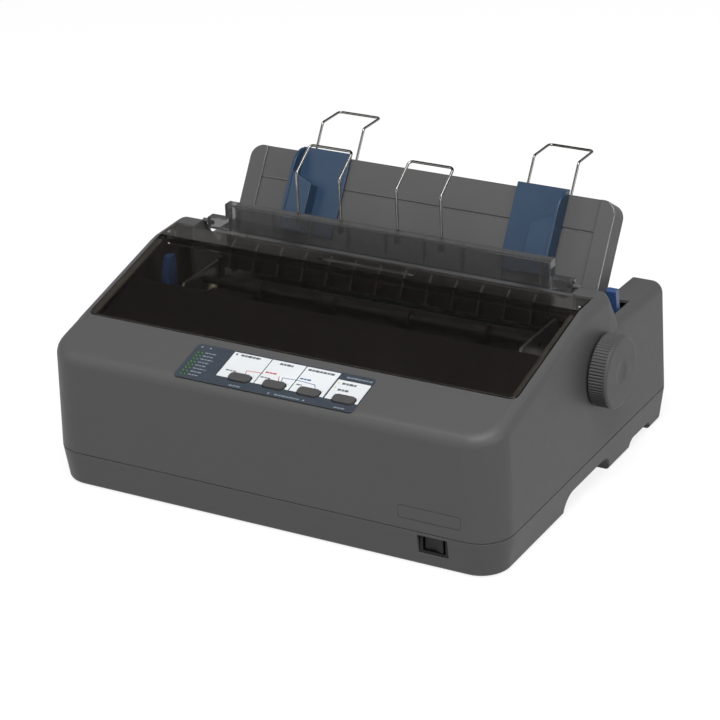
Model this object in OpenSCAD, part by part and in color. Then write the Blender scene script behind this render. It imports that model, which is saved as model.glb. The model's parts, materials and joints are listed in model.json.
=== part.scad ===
// Narrow-carriage dot matrix printer, millimetres, standing on the plane z = 0.
// Case frame used by every module: x = 0 in the middle of the case, y = 0 at the
// front of the seam, +y to the rear, z = 0 under the rubber feet. at_home() moves
// that frame so that the origin is under the middle of the whole printer.

/* [Case] */
// Width of the case across its sides
body_w = 348; // [340:1:380]
// Depth of the case, front to back
body_d = 275; // [272:1:290]
// Height of the seam between lower and upper case
seam_z = 27; // [25:0.5:30]
// Height of the deck plane above the front edge
deck_front_z = 100.5; // [99:0.5:106]
// Slope of the deck and of the cover, in degrees
deck_slope = 13.9; // [12.5:0.1:14.5]
// Distance from the front to the fold, where the slope ends
fold_y = 141; // [138:0.5:144]
// Rear end of the high lands beside the cover
land_end_y = 182; // [180:0.5:186]
// Height of the two rear shoulders
shoulder_z = 112; // [110:0.5:116]
// Wall thickness of both case shells
wall = 2.8; // [2.2:0.1:3.2]
// Corner radius at the front, seen from above
front_corner_r = 24; // [20:1:28]
// Corner radius at the rear, seen from above
rear_corner_r = 11; // [11:1:16]
// Radius that rolls the deck into the sides
roll_r = 9; // [7:0.5:10]
// How far the side walls lean in from seam to top
side_draft = 1.5; // [0.8:0.1:2.5]
// Width of the rims left and right of the cover
rim_w = 8.7; // [8:0.1:10]
// Width of each rear shoulder, outside to well
shoulder_w = 24; // [22:0.5:27]
// Height of the shadow groove along the seam
seam_gap = 0.4; // [0.4:0.1:1]

/* [Lower case] */
// How far the lower case tapers in towards its bottom
base_taper = 3; // [2:0.5:5]
// Height of the rubber feet under the case
foot_h = 0.8; // [0.6:0.1:2]
// Diameter of a rubber foot
foot_d = 13; // [10:1:16]
// Start of the long arch in each side, from the front
arch_y = 104; // [100:1:110]
// Length of the long arch in each side
arch_len = 74; // [60:1:76]
// Height of the long arch
arch_h = 14.5; // [10:0.5:16]
// Start of the short rear arch in each side
rear_arch_y = 212; // [208:1:216]
// Length of the short rear arch
rear_arch_len = 36; // [28:1:40]
// Height of the short rear arch
rear_arch_h = 8.2; // [6:0.2:10]

/* [Cover] */
// Front edge of the cover opening, from the front
cover_front_y = 45.3; // [44:0.1:48]
// Rear edge of the cover
cover_rear_y = 161.5; // [160:0.5:163]
// Thickness of the smoked cover
cover_t = 2.2; // [1.8:0.1:2.6]
// Gap round the cover
cover_gap = 0.6; // [0.4:0.1:1]
// Largest opening angle of the cover
cover_open = 75; // [60:1:80]
// Radius of the cover's hinge pins
cover_pin_r = 2; // [1.5:0.1:2.5]

/* [Sheet guide] */
// Width of the ribbed sheet guide
guide_w = 258.8; // [240:0.2:262]
// Front face of the sheet guide, from the front
guide_y = 173.4; // [172.5:0.1:175]
// Depth of the sheet guide's top flange
guide_d = 7.6; // [6.5:0.1:9]
// Height of the sheet guide's top
guide_top_z = 152; // [148:0.5:156]
// Height of the sheet guide's lower edge
guide_low_z = 131; // [129:0.5:133]
// Number of ribs on the sheet guide
guide_ribs = 9; // [5:1:11]
// Distance between its ribs
guide_rib_pitch = 30.2; // [20:0.2:31]
// Diameter of the wires that hold printed sheets
wire_d = 2; // [1.6:0.1:2.6]
// Width of a wire loop
wire_w = 34.6; // [28:0.2:38]

/* [Paper guide] */
// Lean of the raised paper guide from the vertical
tray_lean = 32; // [28:1:36]
// Length of the paper guide above its pivot
tray_len = 74; // [68:1:80]
// Gap between the paper guide and each shoulder
tray_gap = 3; // [2:0.5:5]
// Width of each side ear of the paper guide
ear_w = 13; // [10:0.5:16]
// Depth of the ears behind the paper surface
ear_d = 16; // [12:0.5:17]
// How far the paper guide folds back, in degrees
tray_fold = 52; // [40:1:52]
// Height of the pivot of the paper guide
tray_pivot_z = 105.4; // [104:0.2:106]
// Distance of that pivot from the front
tray_pivot_y = 211.7; // [210:0.1:214]
// Width of a sliding edge guide
edge_w = 40; // [34:1:44]
// How far its fin stands out from the paper guide
edge_fin_h = 14; // [9:0.5:16]

/* [Print mechanism] */
// Distance of the platen's axis from the front
platen_y = 159.5; // [158:0.5:161]
// Height of the platen's axis
platen_z = 86.5; // [85:0.5:88]
// Radius of the rubber platen
platen_r = 15; // [13.5:0.1:15.6]
// Gap between the end of the rubber platen and each side frame
platen_gap = 8; // [6:0.5:12]
// Radius of the platen's shaft
shaft_r = 4; // [3.5:0.1:4.5]
// Diameter of the hand knob
knob_d = 50.6; // [44:0.2:54]
// Depth of the hand knob
knob_w = 13; // [10:0.5:16]
// Grooves round the knob's rim
knob_grooves = 72; // [48:1:80]
// Radius of the rod that the carriage slides on
rod_r = 5; // [4.5:0.1:5.5]
// Width of the carriage
carriage_w = 52; // [44:1:54]
// Gap between the parked carriage and the left side frame
park_gap = 4; // [3.5:0.5:20]
// Free space round a shaft in its bore
run_gap = 0.05; // [0.03:0.01:0.08]

/* [Gears] */
// Tooth size (pitch diameter over tooth count)
gear_module = 0.8; // [0.75:0.01:0.82]
// Face width of the gears
gear_w = 6; // [4:0.5:6.5]

/* [Controls] */
// Width of the dark control label
label_w = 137; // [120:1:150]
// Depth of the label along the slope
label_d = 36; // [32:0.5:37]
// Width of a push button
button_w = 16; // [12:0.5:18]
// Depth of a push button
button_d = 7.4; // [6:0.2:8]
// Distance between the buttons
button_pitch = 26.35; // [20:0.05:28]
// Travel of a push button
button_travel = 1; // [0.6:0.1:1.2]

/* [Hidden] */
$fn = 48;

// A hair that keeps cuts from ending on a face
eps = 0.01;
// Gap between faces of separate bodies that seat on each other
seat_gap = 0.3;
half_w = body_w / 2;
// Height of the fold, where the deck plane ends
top_z = deck_front_z + fold_y * tan(deck_slope);
// The lands behind the fold rise a touch towards the rear
land_z = top_z + 0.8;
// Half width of the cover opening and of the well behind it
opening_half = half_w - rim_w;
well_half = half_w - shoulder_w;
// The well runs from behind the cover to the rear of the printer
well_front_y = cover_rear_y + 2.4;
well_rear_z = 70;
groove_s = 50;

// ---- helpers ----

// Height of the deck plane at a distance from the front
function deck_z(y) = deck_front_z + y * tan(deck_slope);

// Middle of the whole printer, with its knob and its rear wires
knob_x = half_w + 1;
knob_end_x = knob_x + knob_w;
// How far the rear wires stand behind the pivot's plane
tray_wire_back = ear_d - 5;
function tray_point(s, back) = [
    tray_pivot_y + s * sin(tray_lean) + back * cos(tray_lean),
    tray_pivot_z + s * cos(tray_lean) - back * sin(tray_lean)];
// Rear wire: up along the paper guide, then back and level
tray_wire_foot = tray_point(tray_len - 12, tray_wire_back);
tray_wire_bend = tray_point(tray_len + 26, tray_wire_back);
tray_wire_end = [tray_wire_bend[0] + 25, tray_wire_bend[1]];
home_x = (knob_end_x - half_w) / 2;
home_y = (tray_wire_end[0] + wire_d / 2) / 2;

module at_home() translate([-home_x, -home_y, 0]) children();

// Both sides of the printer
module both_sides() {
    children();
    mirror([1, 0, 0]) children();
}

// Local frame of the deck: x across, y up the slope from the front edge, z off the deck
module on_deck() translate([0, 0, deck_front_z]) rotate([deck_slope, 0, 0]) children();

// Local frame of the paper guide: z up along it from its pivot, y to its back
module on_tray() translate([0, tray_pivot_y, tray_pivot_z]) rotate([-tray_lean, 0, 0]) children();

// A cylinder along x, from one place to another
module x_rod(from, to, r, y, z) translate([from, y, z]) rotate([0, 90, 0]) cylinder(r = r, h = to - from);

// A side profile in y and z, given its thickness along x
module side_plate(from, to) translate([from, 0, 0]) rotate([90, 0, 90]) linear_extrude(to - from) children();

module box(from, to) translate(from) cube([for (i = [0:2]) to[i] - from[i]]);

// A rectangle with round corners, centred
module round_rect(w, d, r) {
    square([w - 2 * r, d], center = true);
    square([w, d - 2 * r], center = true);
    for (x = [-1, 1], y = [-1, 1]) translate([x * (w / 2 - r), y * (d / 2 - r)]) circle(r = r);
}

// A round wire: straight legs with balls at the bends, through [x, y, z] points
module wire_leg(a, b, r) {
    v = b - a;
    length = norm(v);
    translate(a) rotate([0, acos(v[2] / length), atan2(v[1], v[0])]) cylinder(r = r, h = length, $fn = 24);
}
module wire(points, r) {
    for (i = [0:len(points) - 2]) wire_leg(points[i], points[i + 1], r);
    for (i = [1:len(points) - 2]) translate(points[i]) sphere(r = r, $fn = 24);
}

// ---- case ----

// Front block of the upper case, up to the end of the lands; inset gives its hollow
// Middle of the roll where the land's rear slope meets the shoulder
land_foot_y = land_end_y + 6;
module front_block(inset) {
    r = roll_r - inset;
    corner_post_r = front_corner_r - inset;
    x = half_w - front_corner_r;
    z_low = seam_z - (inset > 0 ? 1 : 0);
    fold_c = fold_y + roll_r * tan(deck_slope / 2);
    side_x = half_w - side_draft - roll_r;
    hull() both_sides() {
        translate([x, front_corner_r, z_low]) cylinder(r = corner_post_r, h = 1, $fn = 40);
        translate([x - side_draft, front_corner_r, deck_z(front_corner_r) - roll_r / cos(deck_slope)])
            rotate([deck_slope, 0, 0])
                rotate_extrude($fn = 40) translate([front_corner_r - roll_r, 0]) circle(r = r, $fn = 24);
        translate([side_x, fold_c, top_z - roll_r]) sphere(r = r, $fn = 24);
        translate([side_x, land_end_y - roll_r, land_z - roll_r]) sphere(r = r, $fn = 24);
        translate([side_x, land_foot_y, shoulder_z - roll_r]) sphere(r = r, $fn = 24);
        translate([half_w - roll_r, land_foot_y, z_low]) cylinder(r = r, h = 1, $fn = 24);
    }
}

// Rear block of the upper case, with the two shoulders, which fall a little to the rear
shoulder_fall = 3.3;
module rear_block(inset) {
    r = roll_r - inset;
    rear_r = rear_corner_r - inset;
    front_y = fold_y + roll_r;
    z_low = seam_z - (inset > 0 ? 1 : 0);
    draft = side_draft * 0.8;
    hull() both_sides() {
        translate([half_w - rear_corner_r, body_d - rear_corner_r, z_low]) cylinder(r = rear_r, h = 1, $fn = 32);
        translate([half_w - draft - roll_r, body_d - 1.5 - rear_corner_r, shoulder_z - shoulder_fall - roll_r])
            sphere(r = r, $fn = 32);
        translate([half_w - draft - roll_r, front_y, shoulder_z - roll_r]) sphere(r = r, $fn = 24);
        translate([half_w - roll_r, front_y, z_low]) cylinder(r = r, h = 1, $fn = 24);
    }
}

// Side walls of the well, with the bosses for the cover's and the paper guide's pins
well_wall_low = 94;
module well_walls() both_sides() box([well_half, well_front_y - wall, well_wall_low],
    [well_half + wall, body_d, land_z + 5]);

// Hinge axis of the cover, under its rear strip
cover_axis_y = cover_rear_y - 6.5;
cover_axis_z = top_z - 6;
cover_boss_r = cover_pin_r + 1.6;
cover_pin_end = opening_half + 2.5;

// Ledge under the cover, off the deck plane
ledge_top = -cover_t - seat_gap;
ledge_low = ledge_top - 2;

// Posts that take the case screws
screw_x = half_w - 24;
screw_front_y = 9.5;
screw_rear_y = body_d - 6.5;
screw_r = 1.6;
post_r = 4.5;
module at_screws() for (x = [-screw_x, screw_x], y = [screw_front_y, screw_rear_y]) translate([x, y, 0]) children();

// The lever slot in the right shoulder
lever_y = 204;
lever_x = half_w - 12.5;
lever_w = 7;
lever_slot_len = 25;

button_x0 = -21.8;
button_proud = 1.8;
flange_t = 1.5;
flange_low = -wall - seat_gap - flange_t;
button_y = 13.2;
function button_x(i) = button_x0 + i * button_pitch;

// Openings of the rear wall for the sockets
inlet_x = half_w - 56;
inlet_w = 28;
inlet_h = 21;
socket_z = 34;
ports_x = [-half_w + 76, -half_w + 132, -half_w + 172];
ports_w = [62, 41, 13];
ports_h = [17, 13, 12];

// The outline of the bare badge field is cut this deep into the front
badge_deep = 0.4;
module upper_case() at_home() color("#5a5a5a") difference() {
    union() {
        difference() {
            union() {
                front_block(0);
                rear_block(0);
            }
            difference() {
                union() {
                    front_block(wall);
                    rear_block(wall);
                }
                well_walls();
            }
            // the opening that the cover fills
            on_deck() translate([0, (cover_front_y + fold_y) / cos(deck_slope) / 2, 0])
                linear_extrude(60, center = true)
                    round_rect(2 * opening_half, (fold_y - cover_front_y) / cos(deck_slope), 5);
            box([-opening_half, fold_y - 14, deck_z(fold_y) - 12], [opening_half, well_front_y, land_z + 12]);
            // the well for sheet guide, paper guide and tractors
            box([-well_half, well_front_y - 4, well_rear_z - 8], [well_half, body_d - 12, land_z + 12]);
            box([-well_half, body_d - 13, well_rear_z], [well_half, body_d + 5, land_z + 12]);
        }
        // ledge under the cover's sides and front
        both_sides() on_deck() box([opening_half - 5.2, cover_front_y / cos(deck_slope) - 4, ledge_low],
            [half_w - side_draft - wall + 0.5, (fold_y - 4) / cos(deck_slope), ledge_top]);
        on_deck() box([-opening_half - 2, cover_front_y / cos(deck_slope) - 4, ledge_low],
            [opening_half + 2, cover_front_y / cos(deck_slope) + 3.5, ledge_top]);
        // bosses for the cover's hinge pins
        both_sides() x_rod(opening_half + 0.2, cover_pin_end + 1.5, cover_boss_r, cover_axis_y, cover_axis_z);
        // stub pins that the sheet guide turns on
        both_sides() x_rod(guide_pin_x - 3, well_half + 0.5, guide_pin_r, guide_axis_y, guide_axis_z);
        // posts for the screws, down to the seam, webbed to the front and rear walls
        difference() {
            at_screws() translate([0, 0, seam_z]) cylinder(r = post_r, h = 30);
            box([-half_w, body_d - wall + 0.5, 0], [half_w, body_d + 9, 200]);
        }
        for (x = [-screw_x, screw_x]) {
            box([x - 1.2, 1.5, seam_z], [x + 1.2, screw_front_y, seam_z + 30]);
            box([x - 1.2, screw_rear_y, seam_z], [x + 1.2, body_d - wall + 0.5, seam_z + 30]);
        }
    }
    // pin holes, shaft hole, screw holes, lever slot
    both_sides() x_rod(opening_half - 3, cover_pin_end + seat_gap, cover_pin_r + run_gap, cover_axis_y, cover_axis_z);
    both_sides() x_rod(well_half - 1, well_half + wall + 1, tray_pin_r + run_gap, tray_pivot_y, tray_pivot_z);
    x_rod(half_w - 12, half_w + 4, shaft_r + 2, platen_y, platen_z);
    at_screws() translate([0, 0, seam_z - 1]) cylinder(r = screw_r + run_gap, h = 16);
    box([lever_x - lever_w / 2 - 0.9, lever_y - 6, shoulder_z - 12],
        [lever_x + lever_w / 2 + 0.9, lever_y - 6 + lever_slot_len, shoulder_z + 9]);
    // holes under the buttons and lamps
    on_deck() for (i = [0:3]) translate([button_x(i), button_y, -8]) linear_extrude(9)
        round_rect(button_w + 1, button_d + 1, 3.2);
    on_deck() box([lamp_x - 3.6, lamp_y - 2.2, -8], [lamp_x + 3.6, lamp_y + 26, 1]);
    // sockets in the rear wall
    box([inlet_x - inlet_w / 2, body_d - 10, socket_z], [inlet_x + inlet_w / 2, body_d + 5, socket_z + inlet_h]);
    for (i = [0:2]) box([ports_x[i] - ports_w[i] / 2, body_d - 10, socket_z],
        [ports_x[i] + ports_w[i] / 2, body_d + 5, socket_z + ports_h[i]]);
    // shallow bare recess above the switch
    translate([switch_x - 1.5, badge_deep, 39.5]) rotate([90, 0, 0]) linear_extrude(4)
        difference() {
            round_rect(46, 9.5, 2);
            round_rect(45.2, 8.7, 1.8);
        }
}

// Outer form of the lower case; inset gives its hollow
base_z = foot_h;
base_r = 3;
// Radius of the ring under a corner of the case, in the middle of its roll
function base_ring(corner_r) = max(base_r, corner_r - base_taper - base_r);
module base_block(inset) {
    r = base_r - (inset > 0 ? wall : 0);
    top_h = seam_z - seam_gap + (inset > 0 ? 1 : 0);
    hull() both_sides() {
        translate([half_w - front_corner_r, front_corner_r, top_h - 1]) cylinder(r = front_corner_r - inset, h = 1, $fn = 40);
        translate([half_w - rear_corner_r, body_d - rear_corner_r, top_h - 1])
            cylinder(r = rear_corner_r - inset, h = 1, $fn = 32);
        translate([half_w - front_corner_r, front_corner_r, base_z + base_r]) rotate_extrude($fn = 40)
            translate([base_ring(front_corner_r), 0]) circle(r = r, $fn = 24);
        translate([half_w - rear_corner_r, body_d - rear_corner_r, base_z + base_r]) rotate_extrude($fn = 32)
            translate([base_ring(rear_corner_r), 0]) circle(r = r, $fn = 24);
    }
}

// Side view of an arch under the case, with round upper corners
module arch_shape(y, length, height, grow) {
    r = height - 2;
    top = base_z + height - 1;
    polygon([[y - grow, -5],
        for (a = [180:-15:90]) [y + r + (r + grow) * cos(a), top - r + (r + grow) * sin(a)],
        for (a = [90:-15:0]) [y + length - r + (r + grow) * cos(a), top - r + (r + grow) * sin(a)],
        [y + length + grow, -5]]);
}
arch_in = 26;
module arches(grow) both_sides() side_plate(half_w - arch_in - grow, half_w + 5) {
    arch_shape(arch_y, arch_len, arch_h, grow);
    arch_shape(rear_arch_y, rear_arch_len, rear_arch_h, grow);
}

// Places of the four rubber feet
foot_x = half_w - 38;
module at_feet() for (x = [-foot_x, foot_x], y = [30, body_d - 32]) translate([x, y, 0]) children();

// Front mouth of the power switch
switch_x = half_w - 48;
switch_w = 22;
switch_h = 14;
switch_z = 17.5;
switch_front_y = 3;

module lower_case() at_home() color("#565656") difference() {
    union() {
        difference() {
            base_block(0);
            difference() {
                base_block(wall);
                arches(wall);
                at_screws() cylinder(r = post_r + 1, h = seam_z - seat_gap);
                // pads that carry the side frames
                for (x = [-frame_x, frame_x], y = pad_ys) translate([x, y, 0])
                    translate([-6, -8, 0]) cube([12, 16, frame_low_z]);
                // pads under the boards and the power supply
                for (p = board_pads) translate([p[0] - 4, p[1] - 4, 0]) cube([8, 8, p[2]]);
            }
        }
        // inner rim that the upper case seats on
        difference() {
            rim(1.2, seam_z - seam_gap - 1, seam_z);
            rim(wall, seam_z - 6, seam_z + 1);
        }
    }
    arches(0);
    at_feet() cylinder(r = foot_d / 2 + 0.1, h = base_z + 1);
    at_screws() {
        cylinder(r = screw_r + 0.2, h = seam_z + 1);
        cylinder(r = 3.4, h = screw_head_z);
    }
    // mouth of the power switch
    box([switch_x - switch_w / 2, -5, switch_z - switch_h / 2], [switch_x + switch_w / 2, 12, switch_z + switch_h / 2]);
}

module rim(inset, low, high) translate([0, 0, low]) linear_extrude(high - low) {
    w = half_w - inset;
    translate([-w + front_corner_r - inset, inset]) square([2 * (w - front_corner_r + inset), body_d - 2 * inset]);
    translate([-w, front_corner_r]) square([2 * w, body_d - front_corner_r - rear_corner_r]);
    for (s = [-1, 1]) {
        translate([s * (half_w - front_corner_r), front_corner_r]) circle(r = front_corner_r - inset);
        translate([s * (half_w - rear_corner_r), body_d - rear_corner_r]) circle(r = rear_corner_r - inset);
    }
}

module rubber_feet() at_home() color("#262626") at_feet() {
    cylinder(r = foot_d / 2 - 0.8, h = 0.6);
    translate([0, 0, 0.5]) cylinder(r = foot_d / 2, h = base_z + 0.5);
}

screw_head_z = 8;
module case_screws() at_home() color("#8f8f92") at_screws() {
    translate([0, 0, screw_head_z - 2.2]) difference() {
        cylinder(r = 3, h = 2.2);
        for (a = [0, 90]) rotate(a) cube([3.4, 0.7, 2], center = true);
    }
    cylinder_from = screw_head_z - 0.1;
    translate([0, 0, cylinder_from]) cylinder(r = screw_r, h = seam_z + 13 - cylinder_from);
}

// ---- cover ----

// Side view of the cover: a sloped panel and a level rear strip
module cover_shape() {
    front = cover_front_y + cover_gap;
    drop = cover_t / cos(deck_slope);
    polygon([[front, deck_z(front)], [fold_y, top_z], [cover_rear_y - 1, top_z], [cover_rear_y, top_z - 1], [cover_rear_y, top_z - cover_t],
        [fold_y + cover_t * tan(deck_slope / 2), top_z - cover_t], [front, deck_z(front) - drop]]);
}
hump_half = 37.5;
module printer_cover() at_home() color([0.12, 0.11, 0.1, 0.6]) {
    half = opening_half - cover_gap;
    front = cover_front_y + cover_gap;
    difference() {
        union() {
            side_plate(-half, half) cover_shape();
            // raised pad in the middle of the rear strip
            side_plate(-hump_half, hump_half) polygon([[cover_rear_y - 15.5, top_z - 0.5], [cover_rear_y - 13.5, top_z + 1.1],
                [cover_rear_y - 2.2, top_z + 1.1], [cover_rear_y - 1, top_z], [cover_rear_y - 1, top_z - 0.5]]);
            // stiffening rib under the fold
            side_plate(-half + 6, half - 6) polygon([[fold_y - 1, top_z - 1], [fold_y + 1, top_z - 1], [fold_y + 1, top_z - 7],
                [fold_y - 1, top_z - 7]]);
            // hinge arms and their pins
            both_sides() {
                side_plate(half - 3, half) polygon([[cover_axis_y - 8, top_z - 1], [cover_rear_y - 1, top_z - 1],
                    [cover_axis_y + 3.4, cover_axis_z], [cover_axis_y + 2, cover_axis_z - 3.4],
                    [cover_axis_y - 2, cover_axis_z - 3.4]]);
                x_rod(half - 2, cover_pin_end, cover_pin_r, cover_axis_y, cover_axis_z);
            }
        }
        // round front corners
        both_sides() translate([half - 5, front + 5, 0]) difference() {
            translate([0, -6, 0]) cube([6, 6, 200]);
            cylinder(r = 5, h = 200);
        }
    }
}

// ---- sheet guide ----

guide_pin_r = 1.7;
guide_ear = 15.5;
guide_axis_y = guide_y + guide_d / 2 - 0.2;
guide_axis_z = guide_low_z + 4.2;
guide_pin_x = guide_w / 2 + guide_ear;
guide_wall = 2;
// Places of the two wire loops along the sheet guide
left_wire_x = -53.8;
centre_wire_x = 26.2;
guide_wire_y = guide_y + guide_d - 0.6;
module sheet_guide() at_home() color([0.42, 0.42, 0.42, 0.85]) difference() {
    union() {
        // front wall and top flange
        side_plate(-guide_w / 2, guide_w / 2) polygon([[guide_y, guide_low_z + 1.5], [guide_y, guide_top_z - 0.6],
            [guide_y + 0.6, guide_top_z], [guide_y + guide_d, guide_top_z], [guide_y + guide_d, guide_top_z - guide_wall],
            [guide_y + guide_wall, guide_top_z - guide_wall], [guide_y + guide_wall, guide_low_z],
            [guide_y + 1, guide_low_z]]);
        // end walls and ribs behind the front wall
        both_sides() side_plate(guide_w / 2 - guide_wall, guide_w / 2) guide_rib_shape();
        for (i = [0:guide_ribs - 1]) translate([(i - (guide_ribs - 1) / 2) * guide_rib_pitch, 0, 0])
            side_plate(-0.6, 0.6) guide_rib_shape();
        // ears at both ends
        both_sides() box([guide_w / 2 - 1, guide_y, guide_low_z], [guide_pin_x, guide_y + guide_d, guide_low_z + 8.6]);
        // sockets for the wires
        for (x = [left_wire_x, centre_wire_x], s = [-1, 1])
            translate([x + s * wire_w / 2, guide_wire_y - 1.2, guide_top_z - 9]) cylinder(r = 2.2, h = 9 - eps);
    }
    both_sides() x_rod(guide_pin_x - 4, guide_pin_x + 1, guide_pin_r + run_gap, guide_axis_y, guide_axis_z);
    for (x = [left_wire_x, centre_wire_x], s = [-1, 1])
        translate([x + s * wire_w / 2, guide_wire_y - 1.2, guide_top_z - 8]) cylinder(r = wire_d / 2 + 0.02, h = 9);
}
module guide_rib_shape() polygon([[guide_y + 1, guide_low_z + 1], [guide_y + 1, guide_top_z - 1],
    [guide_y + guide_d, guide_top_z - 1], [guide_y + guide_d, guide_low_z + 8], [guide_y + guide_wall + 2, guide_low_z + 1]]);

// Front wire: up from its sockets, then leaning back
module sheet_wire(x) {
    y0 = guide_wire_y - 1.2;
    up = guide_top_z + 31;
    s = wire_w / 2;
    wire([[x - s, y0, guide_top_z - 8], [x - s, y0, up], [x - s, y0 + 20.5, up + 14],
        [x + s, y0 + 20.5, up + 14], [x + s, y0, up], [x + s, y0, guide_top_z - 8]], wire_d / 2);
}
module sheet_wire_left() at_home() color("#c9c7c0") sheet_wire(left_wire_x);
module sheet_wire_centre() at_home() color("#c9c7c0") sheet_wire(centre_wire_x);

// ---- paper guide ----

tray_pin_r = 3;
tray_half = well_half - tray_gap;
// The paper surface lies in front of the pivot
face_y = -6;
sheet_t = 2.5;
ear_lift = 1.5;
ear_r = 10;
module paper_guide() at_home() color("#5e5e5e") on_tray() difference() {
    union() {
        // paper surface
        box([-tray_half + ear_w - 1, face_y, -8], [tray_half - ear_w + 1, face_y + sheet_t, tray_len]);
        // raised hollow ears
        both_sides() difference() {
            translate([0, face_y - ear_lift, 0]) rotate([-90, 0, 0]) linear_extrude(ear_d + ear_lift) ear_shape(0);
            translate([0, face_y - ear_lift + sheet_t, 0]) rotate([-90, 0, 0]) linear_extrude(ear_d + 2) ear_shape(sheet_t);
        }
        // back ribs and the bosses of the wires
        for (z = [4, groove_s]) box([-tray_half + ear_w, face_y + 1, z - 1], [tray_half - ear_w, face_y + 7, z + 1]);
        for (x = [-tray_wire_x, tray_wire_x], s = [-1, 1]) translate([x + s * wire_w / 2, 0, 0])
            box([-2.6, face_y + sheet_t - 1, tray_len - 14], [2.6, tray_wire_back + 2.6, tray_len - 3]);
        // pins at the pivot
        both_sides() {
            x_rod(tray_half - 1, well_half + wall - 0.3, tray_pin_r, 0, 0);
            x_rod(tray_half - 3, tray_half, 5.4, 0, 0);
        }
    }
    // the long groove across the paper surface
    box([-tray_half + ear_w, face_y - 1, groove_s - 0.5], [tray_half - ear_w, face_y + 0.8, groove_s + 0.5]);
    for (x = [-tray_wire_x, tray_wire_x], s = [-1, 1])
        translate([x + s * wire_w / 2, tray_wire_back, tray_len - 12]) cylinder(r = wire_d / 2 + 0.02, h = 12);
}
// An ear seen from the front, in x and -z
module ear_shape(t) {
    x0 = tray_half - ear_w + (t > 0 ? t : 0);
    x1 = tray_half - t;
    z0 = -8 + t;
    z1 = tray_len - t;
    r = ear_r - t;
    translate([x0, -z1 + r]) square([x1 - x0, z1 - z0 - r]);
    translate([x0, -z1]) square([x1 - x0 - r, z1 - z0]);
    intersection() {
        translate([x1 - r, -z1 + r]) circle(r = r);
        translate([x1 - r, -z1]) square(r);
    }
}

tray_wire_x = tray_half - 60.5;
module tray_wire(x) {
    s = wire_w / 2;
    foot = tray_wire_foot;
    bend = tray_wire_bend;
    end = tray_wire_end;
    wire([[x - s, foot[0], foot[1]], [x - s, bend[0], bend[1]], [x - s, end[0], end[1]],
        [x + s, end[0], end[1]], [x + s, bend[0], bend[1]], [x + s, foot[0], foot[1]]], wire_d / 2);
}
module tray_wire_left() at_home() color("#c9c7c0") tray_wire(-tray_wire_x);
module tray_wire_right() at_home() color("#c9c7c0") tray_wire(tray_wire_x);

// A blue edge guide: plate, outer fin, stop block and a hook over the top edge
edge_t = 2.2;
edge_low = 14;
// Height of the curve at the top of the fin
edge_curve = 15;
edge_left_x = -tray_half + 43;
edge_right_x = tray_half - 37;
// Drawn with its outer edge at x = 0 and its plate towards -x
module edge_guide() {
    face = face_y - seat_gap;
    box([-edge_w, face - edge_t, edge_low], [0, face, tray_len + 3.2]);
    // fin whose front edge curves into the plate at the top
    side_plate(-edge_t, 0) polygon([[face - 1, edge_low], [face - edge_fin_h, edge_low + 3],
        for (a = [0:9:90]) [face - 1 - (edge_fin_h - 1) * cos(a), tray_len - edge_curve + (edge_curve + 2.6) * sin(a)]]);
    // stop block with a slanted upper end
    difference() {
        box([-19, face - edge_fin_h + 1, edge_low], [-1, face - 1, 62]);
        translate([-20, face - edge_fin_h, 49]) rotate([0, -23, 0]) box([-5, -1, 0], [35, edge_fin_h + 2, 20]);
        box([-16.8, face - edge_fin_h + 3, edge_low - 1], [-2, face + 1, 46]);
    }
    // hook behind the top edge
    box([-edge_w + 3, face - 1, tray_len + seat_gap + 0.7], [-3, face_y + sheet_t + 2.6, tray_len + 3.2]);
    box([-edge_w + 3, face_y + sheet_t + seat_gap, tray_len - 2.4], [-3, face_y + sheet_t + 2.6, tray_len + 2]);
}
module edge_guide_left() at_home() color("#33475f") on_tray() translate([edge_left_x, 0, 0]) mirror([1, 0, 0]) edge_guide();
module edge_guide_right() at_home() color("#33475f") on_tray() translate([edge_right_x, 0, 0]) edge_guide();

// ---- frames ----

frame_x = well_half - 17;
frame_t = 2;
frame_in = frame_x - frame_t / 2;
frame_out = frame_x + frame_t / 2;
frame_low_z = 30;
platen_len = 2 * (frame_in - platen_gap);
// Place of the parked carriage, left of the middle
carriage_home = frame_in - carriage_w / 2 - park_gap;
pad_ys = [150, 246];
bush_r = 8;
rod_y = 126;
rod_z = 62;
feed_motor_r = 17.5;
// Gear train on the left frame
platen_teeth = 40;
reduction_teeth = 50;
pinion_teeth = 15;
idler_teeth = 30;
tractor_teeth = 30;
mesh_gap = 0.12;
function mesh(a, b) = gear_module * (a + b) / 2 + mesh_gap;
function turn(p, distance, angle) = [p[0] + distance * cos(angle), p[1] + distance * sin(angle)];
platen_c = [platen_y, platen_z];
// Directions from each gear's axis to the next one, seen from the right
reduction_angle = -45;
pinion_angle = -90;
idler_angle = -8;
tractor_angle = 32;
reduction_c = turn(platen_c, mesh(platen_teeth, reduction_teeth), reduction_angle);
pinion_c = turn(reduction_c, mesh(reduction_teeth, pinion_teeth), pinion_angle);
idler_c = turn(reduction_c, mesh(reduction_teeth, idler_teeth), idler_angle);
tractor_c = turn(idler_c, mesh(idler_teeth, tractor_teeth), tractor_angle);
feed_y = pinion_c[0];
feed_z = pinion_c[1];
tractor_r = 3;
rod2_c = [tractor_c[0], tractor_c[1] - 20];
rod2_r = 2.5;
// Studs that the gears and the thickness lever turn on
stud_r = 3;

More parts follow.
